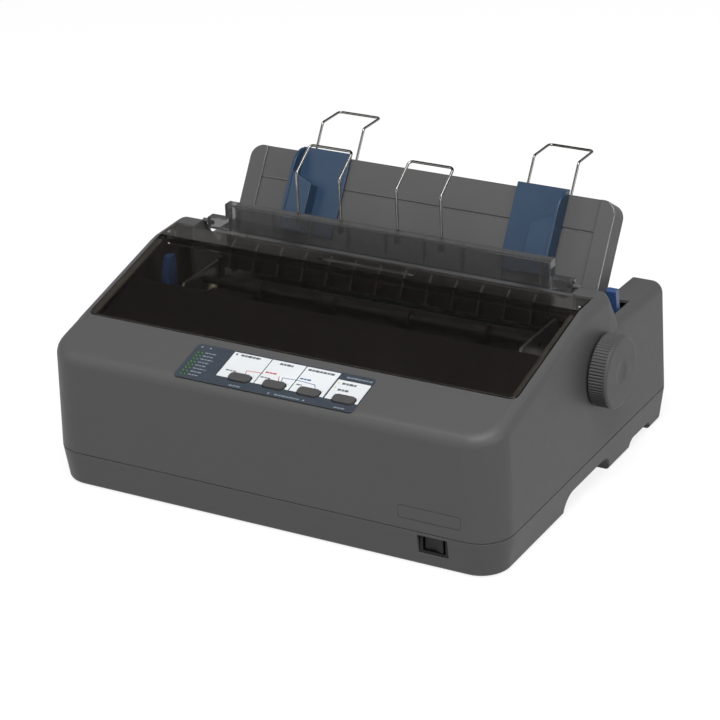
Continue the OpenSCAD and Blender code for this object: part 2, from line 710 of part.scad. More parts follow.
module frame_shape() difference() {
    polygon([[80, frame_low_z], [80, 66], [106, 84], [120, 110], [172, 110], [184, 92], [262, 84], [262, frame_low_z]]);
    translate(platen_c) circle(r = bush_r + 0.02);
    translate([rod_y, rod_z]) circle(r = rod_r);
    translate(tractor_c) circle(r = tractor_r + run_gap);
    translate(rod2_c) circle(r = rod2_r);
    translate([bail_y, bail_z]) circle(r = bail_shaft_r + run_gap);
}
module side_frame_left() at_home() color("#9a9ea3") difference() {
    union() {
        side_plate(-frame_out, -frame_in) frame_shape();
        // studs for the gears and the thickness lever
        x_rod(-frame_out - gear_w - 3, -frame_out + 0.5, stud_r, reduction_c[0], reduction_c[1]);
        x_rod(-frame_out - gear_w - 3, -frame_out + 0.5, stud_r, idler_c[0], idler_c[1]);
        x_rod(-thick_x - 4, -frame_out + 0.5, stud_r, thick_y, thick_z);
    }
    x_rod(-frame_out - 1, -frame_in + 1, 11.2, feed_y, feed_z);
}
module side_frame_right() at_home() color("#9a9ea3") difference() {
    side_plate(frame_in, frame_out) frame_shape();
    x_rod(frame_in - 1, frame_out + 1, release_r + run_gap, lever_y + 4, release_z);
}
module cross_members() at_home() color("#9a9ea3") {
    box([-frame_in, 81, 32], [frame_in, 83, 66]);
    box([-frame_in, 81, 64], [frame_in, 96, 66]);
    box([-frame_in, 247, 32], [frame_in, 249, 56]);
    // shelf and post of the idler pulley
    box([-pulley_x - 10, 82, belt_z - 8], [-pulley_x + 10, belt_y + 10, belt_z - 6]);
    translate([-pulley_x, belt_y, belt_z - 7]) {
        cylinder(r = 5, h = 4.9);
        cylinder(r = 2.5, h = belt_w + 10);
    }
    // shelf over the carriage motor
    box([pulley_x - 22, 81, motor_top_z + seat_gap], [frame_in, 83, 34]);
    difference() {
        box([pulley_x - 22, 82, motor_top_z + seat_gap], [frame_in, belt_y + 22, motor_top_z + 2.3]);
        translate([motor_x, belt_y, motor_top_z - 1]) cylinder(r = 11.3, h = 5);
    }
}
module platen_bushes() at_home() color("#e4e0d4") both_sides() difference() {
    union() {
        x_rod(frame_in - 1.2, frame_out + 1.2, bush_r, platen_y, platen_z);
        x_rod(frame_in - 2.4, frame_in - eps, bush_r + 2, platen_y, platen_z);
    }
    x_rod(frame_in - 4, frame_out + 4, shaft_r + run_gap, platen_y, platen_z);
}

// ---- platen ----

module platen_roller() at_home() color("#1d1d1d") difference() {
    x_rod(-platen_len / 2, platen_len / 2, platen_r, platen_y, platen_z);
    x_rod(-platen_len / 2 - 1, platen_len / 2 + 1, shaft_r, platen_y, platen_z);
}
module platen_shaft() at_home() color("#b9bcc0")
    x_rod(-frame_out - gear_w - 3.4, knob_x + knob_w - 5, shaft_r, platen_y, platen_z);
// Shallow round dimple in the knob's face, cut by a large ball
dimple_r = 9;
dimple_deep = 0.9;
dimple_ball = (dimple_r * dimple_r + dimple_deep * dimple_deep) / (2 * dimple_deep);
// Each groove round the knob's rim is a narrow wedge
groove_deep = 1.1;
groove_half_w = 0.65;
module platen_knob() at_home() color("#5c5c5c") translate([knob_x, platen_y, platen_z]) rotate([90, 0, 90]) difference() {
    union() {
        cylinder(r = knob_d / 2 - groove_deep - 0.05, h = knob_w - 2);
        linear_extrude(knob_w - 2) knob_teeth();
        rotate_extrude() polygon([[0, knob_w - 2.5], [knob_d / 2 - 0.1, knob_w - 2.5], [knob_d / 2 - 0.1, knob_w - 1.4],
            [knob_d / 2 - 0.8, knob_w - 0.4], [knob_d / 2 - 2, knob_w], [0, knob_w]]);
    }
    translate([0, 0, -1]) cylinder(r = shaft_r, h = knob_w - 4 + eps);
    translate([0, 0, knob_w + dimple_ball - dimple_deep]) sphere(r = dimple_ball, $fn = 96);
}
module knob_teeth() difference() {
    circle(r = knob_d / 2);
    for (i = [0:knob_grooves - 1]) rotate(i * 360 / knob_grooves) translate([knob_d / 2, 0])
        scale([groove_deep, groove_half_w]) circle(r = 1, $fn = 4);
}

// A spur gear with straight-sided teeth, in y and z
module gear_shape(teeth, turned) {
    r = gear_module * teeth / 2;
    tip = r + gear_module * 0.9;
    root = r - gear_module * 1.15;
    step = 360 / teeth;
    rotate(turned) polygon([for (i = [0:teeth - 1], k = [0:3])
        let(a = i * step + step * [-0.33, -0.12, 0.12, 0.33][k], q = [root, tip, tip, root][k]) [q * cos(a), q * sin(a)]]);
}
module gear(c, teeth, turned, bore) side_plate(-frame_out - gear_w - 2, -frame_out - 2) translate(c) difference() {
    gear_shape(teeth, turned);
    circle(r = bore);
}
// Turn that puts a tooth gap of one gear at the tooth of the one before it
function half_tooth(teeth) = 180 / teeth;
module platen_gear() at_home() color("#d8d4c6") gear(platen_c, platen_teeth, reduction_angle, shaft_r);
module reduction_gear() at_home() color("#d8d4c6")
    gear(reduction_c, reduction_teeth, reduction_turn, stud_r + run_gap);
reduction_turn = reduction_angle + 180 + half_tooth(reduction_teeth);
// Where the teeth of the followed gear stand, seen from a mesh at an angle
function next_turn(turned, teeth, angle, next_teeth) =
    angle + 180 + half_tooth(next_teeth) - ((turned - angle) * teeth / next_teeth);
module feed_pinion() at_home() color("#b8954a") {
    gear(pinion_c, pinion_teeth, next_turn(reduction_turn, reduction_teeth, pinion_angle, pinion_teeth), 1.5);
    // the motor's shaft
    x_rod(-frame_out - gear_w - 2.5, -frame_in + 20, 2, feed_y, feed_z);
}
idler_turn = next_turn(reduction_turn, reduction_teeth, idler_angle, idler_teeth);
module tractor_idler() at_home() color("#d8d4c6") gear(idler_c, idler_teeth, idler_turn, stud_r + run_gap);
module tractor_gear() at_home() color("#d8d4c6")
    gear(tractor_c, tractor_teeth, next_turn(idler_turn, idler_teeth, tractor_angle, tractor_teeth), tractor_r);

module feed_motor() at_home() color("#7d8084") difference() {
    union() {
        x_rod(-frame_in, -frame_in + 34, feed_motor_r, feed_y, feed_z);
        x_rod(-frame_out - 0.4, -frame_in + 0.3, 11, feed_y, feed_z);
    }
    x_rod(-frame_out - 2, -frame_in + 21, 2 + run_gap, feed_y, feed_z);
}

// Bail: a shaft with soft rollers that ride on the platen
bail_roller_r = 6;
bail_shaft_r = 2.5;
// Places of the four bail rollers
bail_half = frame_in - 12;
bail_xs = [-0.75 * bail_half, -0.25 * bail_half, 0.25 * bail_half, 0.75 * bail_half];
bail_c = turn(platen_c, platen_r + bail_roller_r + seat_gap, 130);
bail_y = bail_c[0];
bail_z = bail_c[1];
module bail_roller() at_home() color("#2b2b2b") {
    x_rod(-frame_out - 1, frame_out + 1, bail_shaft_r, bail_y, bail_z);
    for (x = bail_xs) x_rod(x - 6, x + 6, bail_roller_r, bail_y, bail_z);
}

// Black plate under the cover, and the ribbed guide behind the platen
plate_half = half_w - 15;
plate_drop = 4.5;
plate_rear_y = 96.6;
module inner_plate() at_home() color("#1b1b1b") on_deck() {
    front = (cover_front_y + 5) / cos(deck_slope);
    rear = plate_rear_y / cos(deck_slope);
    box([-plate_half, front, -plate_drop - 1.6 - 2], [plate_half, rear, -plate_drop - 2]);
    box([-plate_half, rear - 1.8, -plate_drop - 8], [plate_half, rear, -plate_drop - 2]);
    // tongues under the side ledges
    both_sides() box([plate_half - 1, front + 12, -plate_drop - 3.6],
        [half_w - side_draft - wall - 0.6, front + 30, -plate_drop - 2]);
}
rib_count = 13;
rib_pitch = 2 * (frame_in - 12) / (rib_count - 1);
module rib_guide() at_home() color("#1f1f1f") {
    back = [[platen_y + 5, platen_z + 19], [guide_y - 3, guide_low_z - 3]];
    side_plate(-frame_in, frame_in) polygon([back[0], back[1], back[1] + [2, 0], back[0] + [2, 0]]);
    for (i = [0:rib_count - 1]) translate([(i - (rib_count - 1) / 2) * rib_pitch, 0, 0])
        side_plate(-0.7, 0.7) polygon([back[0] + [0, 1], back[0] + [-6, 3], back[1] + [-6, -6], back[1] + [0.5, -1]]);
    // arms to the side frames
    both_sides() box([frame_in - 3, platen_y + 5, platen_z + 19], [frame_in - eps, platen_y + 12, platen_z + 27]);
    both_sides() box([frame_in - 3, platen_y + 5, platen_z + 10], [frame_in - eps, platen_y + 9, platen_z + 20]);
}

// ---- carriage ----

belt_y = 104;
belt_z = 46;
belt_r = 7.4;
belt_w = 6;
belt_t = 1.2;
pulley_x = frame_in - 13;
belt_rear_y = belt_y + belt_r;
motor_x = pulley_x;
motor_y = belt_y;
motor_low_z = 5.5;
motor_top_z = 28.5;
rail_top_z = 66;
module carriage() at_home() color("#2a2a2c") translate([-carriage_home, 0, 0]) difference() {
    union() {
        box([-carriage_w / 2, 86, 68], [carriage_w / 2, 140, 72]);
        x_rod(-carriage_w / 2, carriage_w / 2, rod_r + 4, rod_y, rod_z);
        box([-carriage_w / 2, rod_y - 7, rod_z], [carriage_w / 2, rod_y + 7, 70]);
        // front shoe, just above the rail
        box([-10, 86, rail_top_z + seat_gap], [10, 94, 69]);
        // clamp round the rear run of the belt
        box([-6, belt_rear_y - 3.5, belt_z - 2.5], [6, belt_rear_y + 3.5, 70]);
    }
    x_rod(-carriage_w / 2 - 1, carriage_w / 2 + 1, rod_r + run_gap, rod_y, rod_z);
    box([-9, belt_rear_y - seat_gap, belt_z - seat_gap], [9, belt_rear_y + belt_t + seat_gap, belt_z + belt_w + seat_gap]);
}
head_front_y = 142.6;
module print_head() at_home() color("#3a3a3e") translate([-carriage_home, 0, 0]) {
    box([-17, 116, 72], [17, 136, 96]);
    for (i = [0:6]) box([-17, 116 + i * 3, 95], [17, 117.6 + i * 3, 103]);
    box([-6, 135, platen_z - 9], [6, head_front_y - 2, platen_z + 9]);
    box([-3, 138, platen_z - 6], [3, head_front_y, platen_z + 6]);
}
module ribbon_cartridge() at_home() color("#151515") translate([-carriage_home, 0, 0]) {
    box([-27, 92, 74], [27, 113, 92]);
    both_sides() {
        box([19, 110, 76], [25, 141, 90]);
        box([19, 138, 80], [23, 143.6, 90]);
    }
    // the inked band between the two arms
    box([-20, 143.1, 80.5], [20, 143.6, 89.5]);
    translate([16, 102, 91.5]) cylinder(r = 6, h = 5);
}
module carriage_rod() at_home() color("#c4c7cb") x_rod(-frame_out - 3, frame_out + 3, rod_r - 0.02, rod_y, rod_z);

// A belt loop, seen from above
module belt_shape(r) {
    square([2 * pulley_x, 2 * r], center = true);
    for (s = [-1, 1]) translate([s * pulley_x, 0]) circle(r = r);
}
module timing_belt() at_home() color("#202020") translate([0, belt_y, belt_z]) linear_extrude(belt_w) difference() {
    belt_shape(belt_r + belt_t);
    belt_shape(belt_r);
}
module pulley() {
    translate([0, 0, belt_z]) cylinder(r = belt_r - seat_gap, h = belt_w);
    for (z = [belt_z - 1.6, belt_z + belt_w + 0.6]) translate([0, 0, z]) cylinder(r = belt_r + 1.6, h = 1);
    translate([0, 0, belt_z - 0.7]) cylinder(r = belt_r - 2, h = belt_w + 1.4);
}
module drive_pulley() at_home() color("#c9b987") translate([pulley_x, belt_y, 0]) {
    pulley();
    // the motor's shaft
    translate([0, 0, motor_low_z + 7]) cylinder(r = 2.5, h = belt_z + belt_w - motor_low_z - 4);
}
module idler_pulley() at_home() color("#d8d4c6") translate([-pulley_x, belt_y, 0]) difference() {
    pulley();
    translate([0, 0, belt_z - 3]) cylinder(r = 2.5 + run_gap, h = belt_w + 8);
}
module carriage_motor() at_home() color("#7d8084") difference() {
    union() {
        translate([motor_x, motor_y, motor_low_z]) cylinder(r = 20, h = motor_top_z - motor_low_z);
        translate([motor_x, motor_y, motor_low_z + 1]) cylinder(r = 11, h = motor_top_z - motor_low_z + 1);
    }
    translate([motor_x, motor_y, motor_low_z + 6]) cylinder(r = 2.5 + run_gap, h = 30);
}

// ---- tractors ----

tractor_x = frame_in - 24;
tractor_w = 15;
tractor_len = 32;
door_hinge_x = 5.9;
door_hinge_z = tractor_c[1] + 10.6;
door_pin_r = 0.9;
module tractor_body() difference() {
    union() {
        side_plate(-tractor_w / 2, tractor_w / 2) {
            translate([tractor_c[0] - tractor_len / 2, tractor_c[1]]) circle(r = 9);
            translate([tractor_c[0] + tractor_len / 2, tractor_c[1]]) circle(r = 9);
            translate([tractor_c[0] - tractor_len / 2, tractor_c[1] - 9]) square([tractor_len, 18]);
            translate([tractor_c[0] - 7, rod2_c[1] - 6]) square([14, 20]);
        }
        // ears that hold the door's hinge
        for (y = [-1, 1]) translate([0, tractor_c[0] + y * 15.4, tractor_c[1]])
            box([4.2, -1.4, 7], [7.4, 1.4, 12.2]);
        // feed pins along the top
        for (i = [-1:1]) translate([0, tractor_c[0] + i * 12.7, tractor_c[1] + 8]) cylinder(r1 = 1.9, r2 = 1.2, h = 3, $fn = 24);
    }
    x_rod(-tractor_w, tractor_w, tractor_r + run_gap, tractor_c[0], tractor_c[1]);
    x_rod(-tractor_w, tractor_w, rod2_r + run_gap, rod2_c[0], rod2_c[1]);
    translate([door_hinge_x, tractor_c[0] - 20, door_hinge_z]) rotate([-90, 0, 0]) cylinder(r = door_pin_r + run_gap, h = 40);
}
module tractor_left() at_home() color("#2d2d2f") translate([-tractor_x, 0, 0]) mirror([1, 0, 0]) tractor_body();
module tractor_right() at_home() color("#2d2d2f") translate([tractor_x, 0, 0]) tractor_body();
// The door lies over the feed pins and hinges along its outer edge
module tractor_door() {
    c = tractor_c[1];
    difference() {
        union() {
            box([-tractor_w / 2, tractor_c[0] - 17, c + 12.4], [3.8, tractor_c[0] + 17, c + 13.9]);
            box([3, tractor_c[0] - 13.6, c + 12.4], [door_hinge_x, tractor_c[0] + 13.6, c + 13.9]);
            box([door_hinge_x - 1, tractor_c[0] - 13.6, door_hinge_z], [door_hinge_x + 1, tractor_c[0] + 13.6, c + 13.9]);
        }
        // slot for the feed pins
        box([-2.6, tractor_c[0] - 15, c + 10], [2.6, tractor_c[0] + 15, c + 15]);
    }
    translate([door_hinge_x, tractor_c[0] - 16.6, door_hinge_z]) rotate([-90, 0, 0]) cylinder(r = door_pin_r, h = 33.2);
}
module tractor_door_left() at_home() color("#3b3b3e") translate([-tractor_x, 0, 0]) mirror([1, 0, 0]) tractor_door();
module tractor_door_right() at_home() color("#3b3b3e") translate([tractor_x, 0, 0]) tractor_door();
module tractor_shaft() at_home() color("#b9bcc0") x_rod(-frame_out - gear_w - 3, frame_out + 2, tractor_r, tractor_c[0], tractor_c[1]);
module tractor_rod() at_home() color("#b9bcc0") x_rod(-frame_out, frame_out, rod2_r - 0.02, rod2_c[0], rod2_c[1]);

// ---- levers ----

release_z = 52;
release_r = 2.5;
lever_top_z = 125.5;
// The lever's head is wider than its stem, towards the middle of the printer
lever_head_w = 7.5;
lever_stem_w = 3.4;
module release_lever() at_home() color("#4d6f9e") {
    y = lever_y + 4;
    x_rod(frame_in - 2, lever_x + lever_w / 2, release_r, y, release_z);
    side_plate(lever_x - 1.5, lever_x + 1.5) polygon([[y - 5, release_z - 5], [y + 5, release_z - 5], [y + 3, shoulder_z - 3],
        [y - 4, shoulder_z - 3]]);
    right = lever_x + lever_w / 2;
    intersection() {
        side_plate(right - lever_head_w, right) polygon([[lever_y + 0.5, shoulder_z - 6], [lever_y + 5.5, shoulder_z - 6],
            [lever_y + 3, lever_top_z - 1.5], [lever_y + 2, lever_top_z], [lever_y - 1.5, lever_top_z],
            [lever_y - 2.5, lever_top_z - 1.5]]);
        // wedge seen from the front: wide head, hollow flank, narrow stem
        translate([0, lever_y + 20, 0]) rotate([90, 0, 0]) linear_extrude(40) difference() {
            translate([right - lever_head_w, shoulder_z - 6]) square([lever_head_w, lever_top_z - shoulder_z + 6]);
            polygon([for (a = [0:10:90]) [right - lever_head_w - eps + (lever_head_w - lever_stem_w) * (1 - cos(a)),
                lever_top_z - 3 - (lever_top_z - shoulder_z) * sin(a)], [right - lever_stem_w, shoulder_z - 7],
                [right - lever_head_w - eps, shoulder_z - 7]]);
        }
    }
}
thick_x = frame_out + 17;
thick_y = 131;
thick_z = 78;
module thickness_lever() at_home() color("#2c3f7a") difference() {
    union() {
        side_plate(-thick_x - 3, -thick_x + 3) polygon([[thick_y - 5, thick_z], [thick_y - 3, 102], [thick_y - 8, 104], [thick_y - 7, 114],
            [thick_y - 3, 124], [thick_y + 3, 124], [thick_y + 4, 104], [thick_y + 5, thick_z]]);
        x_rod(-thick_x - 3, -thick_x + 3, 6, thick_y, thick_z);
    }
    x_rod(-thick_x - 5, -thick_x + 5, stud_r + run_gap, thick_y, thick_z);
}

// ---- control panel ----

label_y0 = 3.1;
label_t = 0.4;
lamp_x = -62.9;
lamp_y = 7.1;
lamp_rows = 8;
lamp_pitch = 3.37;
module control_label() at_home() color("#2f3a48") on_deck() translate([0, label_y0 + 3.5, 0]) difference() {
    translate([0, label_d / 2 - 3.5, 0]) linear_extrude(label_t) round_rect(label_w, label_d, 3);
    translate([0, -label_y0 - 3.5, -1]) {
        for (i = [0:3]) translate([button_x(i), button_y, 0]) linear_extrude(3) round_rect(button_w + 0.8, button_d + 0.8, 3.2);
        at_lamps() cylinder(r = 1.05, h = 3, $fn = 24);
    }
}
module at_lamps() for (c = [-1.5, 1.5], i = [0:lamp_rows - 1]) translate([lamp_x + c, lamp_y + i * lamp_pitch, 0]) children();
module led_lamps() at_home() color("#4fa23c") on_deck() {
    at_lamps() translate([0, 0, -6]) cylinder(r = 0.95, h = 6 + label_t, $fn = 24);
    box([lamp_x - 3, lamp_y - 1.5, -7], [lamp_x + 3, lamp_y + 25, -5.5]);
}
module button(i) on_deck() translate([button_x(i), button_y, 0]) {
    translate([0, 0, flange_low]) linear_extrude(button_proud - flange_low) round_rect(button_w, button_d, 3);
    translate([0, 0, flange_low]) linear_extrude(flange_t) round_rect(button_w + 3, button_d + 1.8, 3);
}
module button_1() at_home() color("#55565a") button(0);
module button_2() at_home() color("#55565a") button(1);
module button_3() at_home() color("#55565a") button(2);
module button_4() at_home() color("#55565a") button(3);
module control_board() at_home() color("#2f6b3f") on_deck() {
    box([-label_w / 2 - 2, 6, -12.6], [label_w / 2 + 4, 38, -11]);
    // contact of each button, and the lamps' holder
    for (i = [0:3]) translate([button_x(i), button_y, -11.1]) cylinder(r = 3, h = 11.1 + flange_low - button_travel - seat_gap);
    box([lamp_x - 2.6, lamp_y, -11.1], [lamp_x + 2.6, lamp_y + 22, -7]);
    // pillars up to the deck
    for (x = [-label_w / 2 + 14, label_w / 2 + 1]) translate([x, 34, -11.1]) cylinder(r = 2.4, h = 11.1 - wall);
}

// ---- power switch ----

module power_switch() at_home() color("#1a1a1a") difference() {
    union() {
        box([switch_x - switch_w / 2 + 0.1, switch_front_y, switch_z - switch_h / 2 + 0.1],
            [switch_x + switch_w / 2 - 0.1, 26, switch_z + switch_h / 2 - 0.1]);
    }
    box([switch_x - 8.2, switch_front_y - 1, switch_z - 5.2], [switch_x + 8.2, rocker_y + 5, switch_z + 5.2]);
    translate([switch_x, rocker_y, switch_z - 6.6]) cylinder(r = rocker_pin_r + run_gap, h = 13.2);
}
rocker_y = switch_front_y + 6;
rocker_pin_r = 1.2;
rocker_tilt = 7;
module power_rocker() at_home() color("#222222")
    translate([switch_x, rocker_y, switch_z]) rotate([0, 0, -rocker_tilt]) {
        translate([0, 0, -4.9]) linear_extrude(9.8) {
            polygon([[-7.2, -5], [0, -3.8], [7.2, -5], [7.2, -2], [0, 4], [-7.2, -2]]);
            circle(r = 2.4);
        }
        translate([0, 0, -6.4]) cylinder(r = rocker_pin_r, h = 12.8);
    }

// ---- electronics ----

board_z = 8;
board_t = 1.6;
// Corners of the main board and of the power supply
main_low = [-half_w + 56, body_d - 163];
main_high = [-22, body_d - 13];
supply_low = [half_w - 122, 18];
supply_high = [half_w - 26, 76];
board_pads = [[main_low[0] + 8, main_low[1] + 8, board_z], [main_high[0] - 8, main_low[1] + 8, board_z],
    [main_low[0] + 8, main_high[1] - 30, board_z], [main_high[0] - 8, main_high[1] - 30, board_z],
    [supply_low[0] + 8, supply_low[1] + 6, board_z], [supply_high[0] - 6, supply_low[1] + 12, board_z],
    [supply_low[0] + 8, supply_high[1] - 6, board_z], [supply_high[0] - 18, supply_high[1] - 10, board_z]];
// A rectangular component on a board, from a corner and its size
module component(corner, at, size) translate([corner[0] + at[0], corner[1] + at[1], board_z + board_t - 0.1]) cube(size);
module can(corner, at, r, h) translate([corner[0] + at[0], corner[1] + at[1], board_z + board_t - 0.1]) cylinder(r = r, h = h);
module main_board() at_home() color("#2f6b3f") {
    box([main_low[0], main_low[1], board_z], [main_high[0], main_high[1], board_z + board_t]);
    component(main_low, [22, 28], [20, 20, 3.5]);
    component(main_low, [58, 68], [26, 12, 4.5]);
    for (i = [0:3]) can(main_low, [8 + i * 12, 133], 4, 10);
}
module power_supply() at_home() color("#8b7d4f") {
    box([supply_low[0], supply_low[1], board_z], [supply_high[0], supply_high[1], board_z + board_t]);
    // transformer, heat sink, capacitor and fuse holder
    component(supply_low, [12, 16], [32, 28, 34.5]);
    component(supply_low, [50, 26], [3, 30, 32.5]);
    can(supply_low, [72, 40], 11, 30);
    can(supply_low, [6, 8], 4, 10);
}
module mains_inlet() at_home() color("#1a1a1a") difference() {
    box([inlet_x - inlet_w / 2 + 0.2, body_d - 22, socket_z + 0.2], [inlet_x + inlet_w / 2 - 0.2, body_d - 1, socket_z + inlet_h - 0.2]);
    difference() {
        box([inlet_x - 12, body_d - 17, socket_z + 3], [inlet_x + 12, body_d, socket_z + inlet_h - 3]);
        for (x = [-7, 0, 7]) box([inlet_x + x - 1, body_d - 18, socket_z + 8], [inlet_x + x + 1, body_d - 6, socket_z + 12]);
    }
}
module data_ports() at_home() color("#b4b6b8") for (i = [0:2]) difference() {
    box([ports_x[i] - ports_w[i] / 2 + 0.2, body_d - 16, socket_z + 0.2],
        [ports_x[i] + ports_w[i] / 2 - 0.2, body_d - 1.5, socket_z + ports_h[i] - 0.2]);
    box([ports_x[i] - ports_w[i] / 2 + 3, body_d - 12, socket_z + 2.6],
        [ports_x[i] + ports_w[i] / 2 - 3, body_d, socket_z + ports_h[i] - 2.6]);
}

lower_case();
upper_case();
rubber_feet();
case_screws();
printer_cover();
sheet_guide();
sheet_wire_left();
sheet_wire_centre();
paper_guide();
tray_wire_left();
tray_wire_right();
edge_guide_left();
edge_guide_right();
platen_roller();
platen_shaft();
platen_knob();
platen_gear();
platen_bushes();
side_frame_left();
side_frame_right();
cross_members();
inner_plate();
rib_guide();
bail_roller();
carriage();
print_head();
ribbon_cartridge();
carriage_rod();
timing_belt();
drive_pulley();
idler_pulley();
carriage_motor();
feed_motor();
feed_pinion();
reduction_gear();
tractor_idler();
tractor_gear();
tractor_shaft();
tractor_rod();
tractor_left();
tractor_right();
tractor_door_left();
tractor_door_right();
release_lever();
thickness_lever();
control_label();
led_lamps();
button_1();
button_2();
button_3();
button_4();
control_board();
power_switch();
power_rocker();
main_board();
power_supply();
mains_inlet();
data_ports();
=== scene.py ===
# %% [markdown]
# # A desktop dot matrix printer, dressed for its portrait
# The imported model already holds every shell, roller, gear and lever at its real size.
# This script keeps those places and adds what a solid modeller leaves out: edges that
# catch the light, moulded and drawn surfaces, the smoked cover, bent wire, the printed
# control label and its lamps. It is read from top to bottom, one step in each cell.

# %% Load the fixed frame
import json
import math

import bmesh
import bpy
from mathutils import Matrix, Vector

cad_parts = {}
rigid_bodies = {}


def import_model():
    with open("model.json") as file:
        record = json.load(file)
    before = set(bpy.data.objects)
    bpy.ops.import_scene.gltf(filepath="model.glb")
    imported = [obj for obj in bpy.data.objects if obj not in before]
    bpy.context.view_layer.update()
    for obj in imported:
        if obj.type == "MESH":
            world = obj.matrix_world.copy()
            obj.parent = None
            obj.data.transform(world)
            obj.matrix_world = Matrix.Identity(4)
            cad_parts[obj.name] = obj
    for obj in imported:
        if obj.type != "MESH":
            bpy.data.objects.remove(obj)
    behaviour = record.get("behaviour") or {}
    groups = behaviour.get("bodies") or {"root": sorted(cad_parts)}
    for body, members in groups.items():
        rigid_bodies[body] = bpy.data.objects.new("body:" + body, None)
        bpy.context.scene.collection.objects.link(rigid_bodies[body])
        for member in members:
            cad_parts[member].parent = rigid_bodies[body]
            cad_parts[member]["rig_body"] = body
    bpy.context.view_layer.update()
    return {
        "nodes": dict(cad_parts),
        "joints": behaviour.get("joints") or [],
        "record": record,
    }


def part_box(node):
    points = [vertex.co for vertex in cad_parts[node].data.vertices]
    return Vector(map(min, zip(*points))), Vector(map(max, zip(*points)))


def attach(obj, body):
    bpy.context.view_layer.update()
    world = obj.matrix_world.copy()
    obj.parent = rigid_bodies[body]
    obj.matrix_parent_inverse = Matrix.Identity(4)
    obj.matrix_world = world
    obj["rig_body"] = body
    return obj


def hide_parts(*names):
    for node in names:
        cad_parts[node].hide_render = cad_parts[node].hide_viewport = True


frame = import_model()
nodes = frame["nodes"]
joints = {joint["name"]: joint for joint in frame["joints"]}
slot_of = {part["node"]: part["material_slot"] for part in frame["record"]["subparts"]}

# %% [markdown]
# ## Where things are
# The printer was drawn in millimetres from the middle of its case and the front of its
# seam. A helper turns such a place into the row's metres, with the origin read from the
# packed case, so nothing has to be fitted by eye. The control deck slopes and the paper
# guide leans, so each gets a local frame of its own. The way a button is pressed gives the
# deck's slope, and the paper guide's hinge gives its place.

# %% Places in the case, on the deck and on the paper guide
MM = 0.001
case_low, case_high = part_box("upper_case")
CASE_MIDDLE = (case_low.x + case_high.x) / 2
CASE_FRONT = case_low.y
DECK_FRONT_Z = 100.5
TRAY_LEAN = math.radians(32)


def at(x, y, z):
    """A place in the case, in millimetres, as a point in the row's metres."""
    return Vector((CASE_MIDDLE + x * MM, CASE_FRONT + y * MM, z * MM))


press = Vector(joints["button_1_press"]["axis"])
deck_slope = math.atan2(press.y, -press.z)
DECK = Matrix.Translation(at(0, 0, DECK_FRONT_Z)) @ Matrix.Rotation(deck_slope, 4, "X")
pivot = Vector(joints["paper_guide_tilt"]["pos_m"])
TRAY = Matrix.Translation((CASE_MIDDLE, pivot.y, pivot.z)) @ Matrix.Rotation(-TRAY_LEAN, 4, "X")
print("deck slope", round(math.degrees(deck_slope), 2), "pivot", [round(v, 4) for v in pivot])

# %% [markdown]
# ## Building shader nodes
# Every finish below is a small network of nodes, and wiring them by hand takes most of
# the lines. One helper makes a node, sets it and links it in a single call: a value that
# is itself a socket becomes a link. A second one starts a node group, the shader
# writer's function, with named inputs and outputs.

# %% Helpers for nodes and groups


def put(tree, kind, sockets=(), **settings):
    """Adds one shader node; sockets holds (input, value or socket) pairs."""
    made = tree.nodes.new(kind)
    for key, value in settings.items():
        setattr(made, key, value)
    for key, value in sockets:
        if isinstance(value, bpy.types.NodeSocket):
            tree.links.new(value, made.inputs[key])
        else:
            made.inputs[key].default_value = value
    return made


def new_group(name, inputs, outputs):
    """A shader node group with plain number sockets."""
    tree = bpy.data.node_groups.new(name, "ShaderNodeTree")
    for label, value in inputs:
        socket = tree.interface.new_socket(label, in_out="INPUT", socket_type="NodeSocketFloat")
        socket.default_value = value
    for label in outputs:
        tree.interface.new_socket(label, in_out="OUTPUT", socket_type="NodeSocketFloat")
    return tree, tree.nodes.new("NodeGroupInput").outputs, tree.nodes.new("NodeGroupOutput").inputs


def noise(tree, scale, detail, roughness, vector):
    """A noise texture's value, from 0 to 1."""
    return put(
        tree, "ShaderNodeTexNoise",
        [("Vector", vector), ("Scale", scale), ("Detail", detail), ("Roughness", roughness)],
    ).outputs[0]


def spread(tree, value, low, high, start=0.35, end=0.65):
    """Stretches a value's middle range to run from low to high."""
    return put(
        tree, "ShaderNodeMapRange",
        [("Value", value), ("From Min", start), ("From Max", end), ("To Min", low), ("To Max", high)],
    ).outputs[0]


def maths(tree, operation, first, second):
    """One arithmetic step between two values."""
    return put(tree, "ShaderNodeMath", [(0, first), (1, second)], operation=operation).outputs[0]


# %% [markdown]
# ## The texture of moulded plastic
# A moulded case is eroded in the tool, so its skin is a fine, soft-edged grain about
# half a millimetre across. Under a lamp it reads as satin. Two other things keep real
# plastic from looking like a computer's grey: the gloss drifts where hands and packing
# have rubbed it, and the colour drifts by a percent or two over a few centimetres. The
# group puts out those three signals, and each plastic takes them at its own scale.

# %% Group: moulded grain


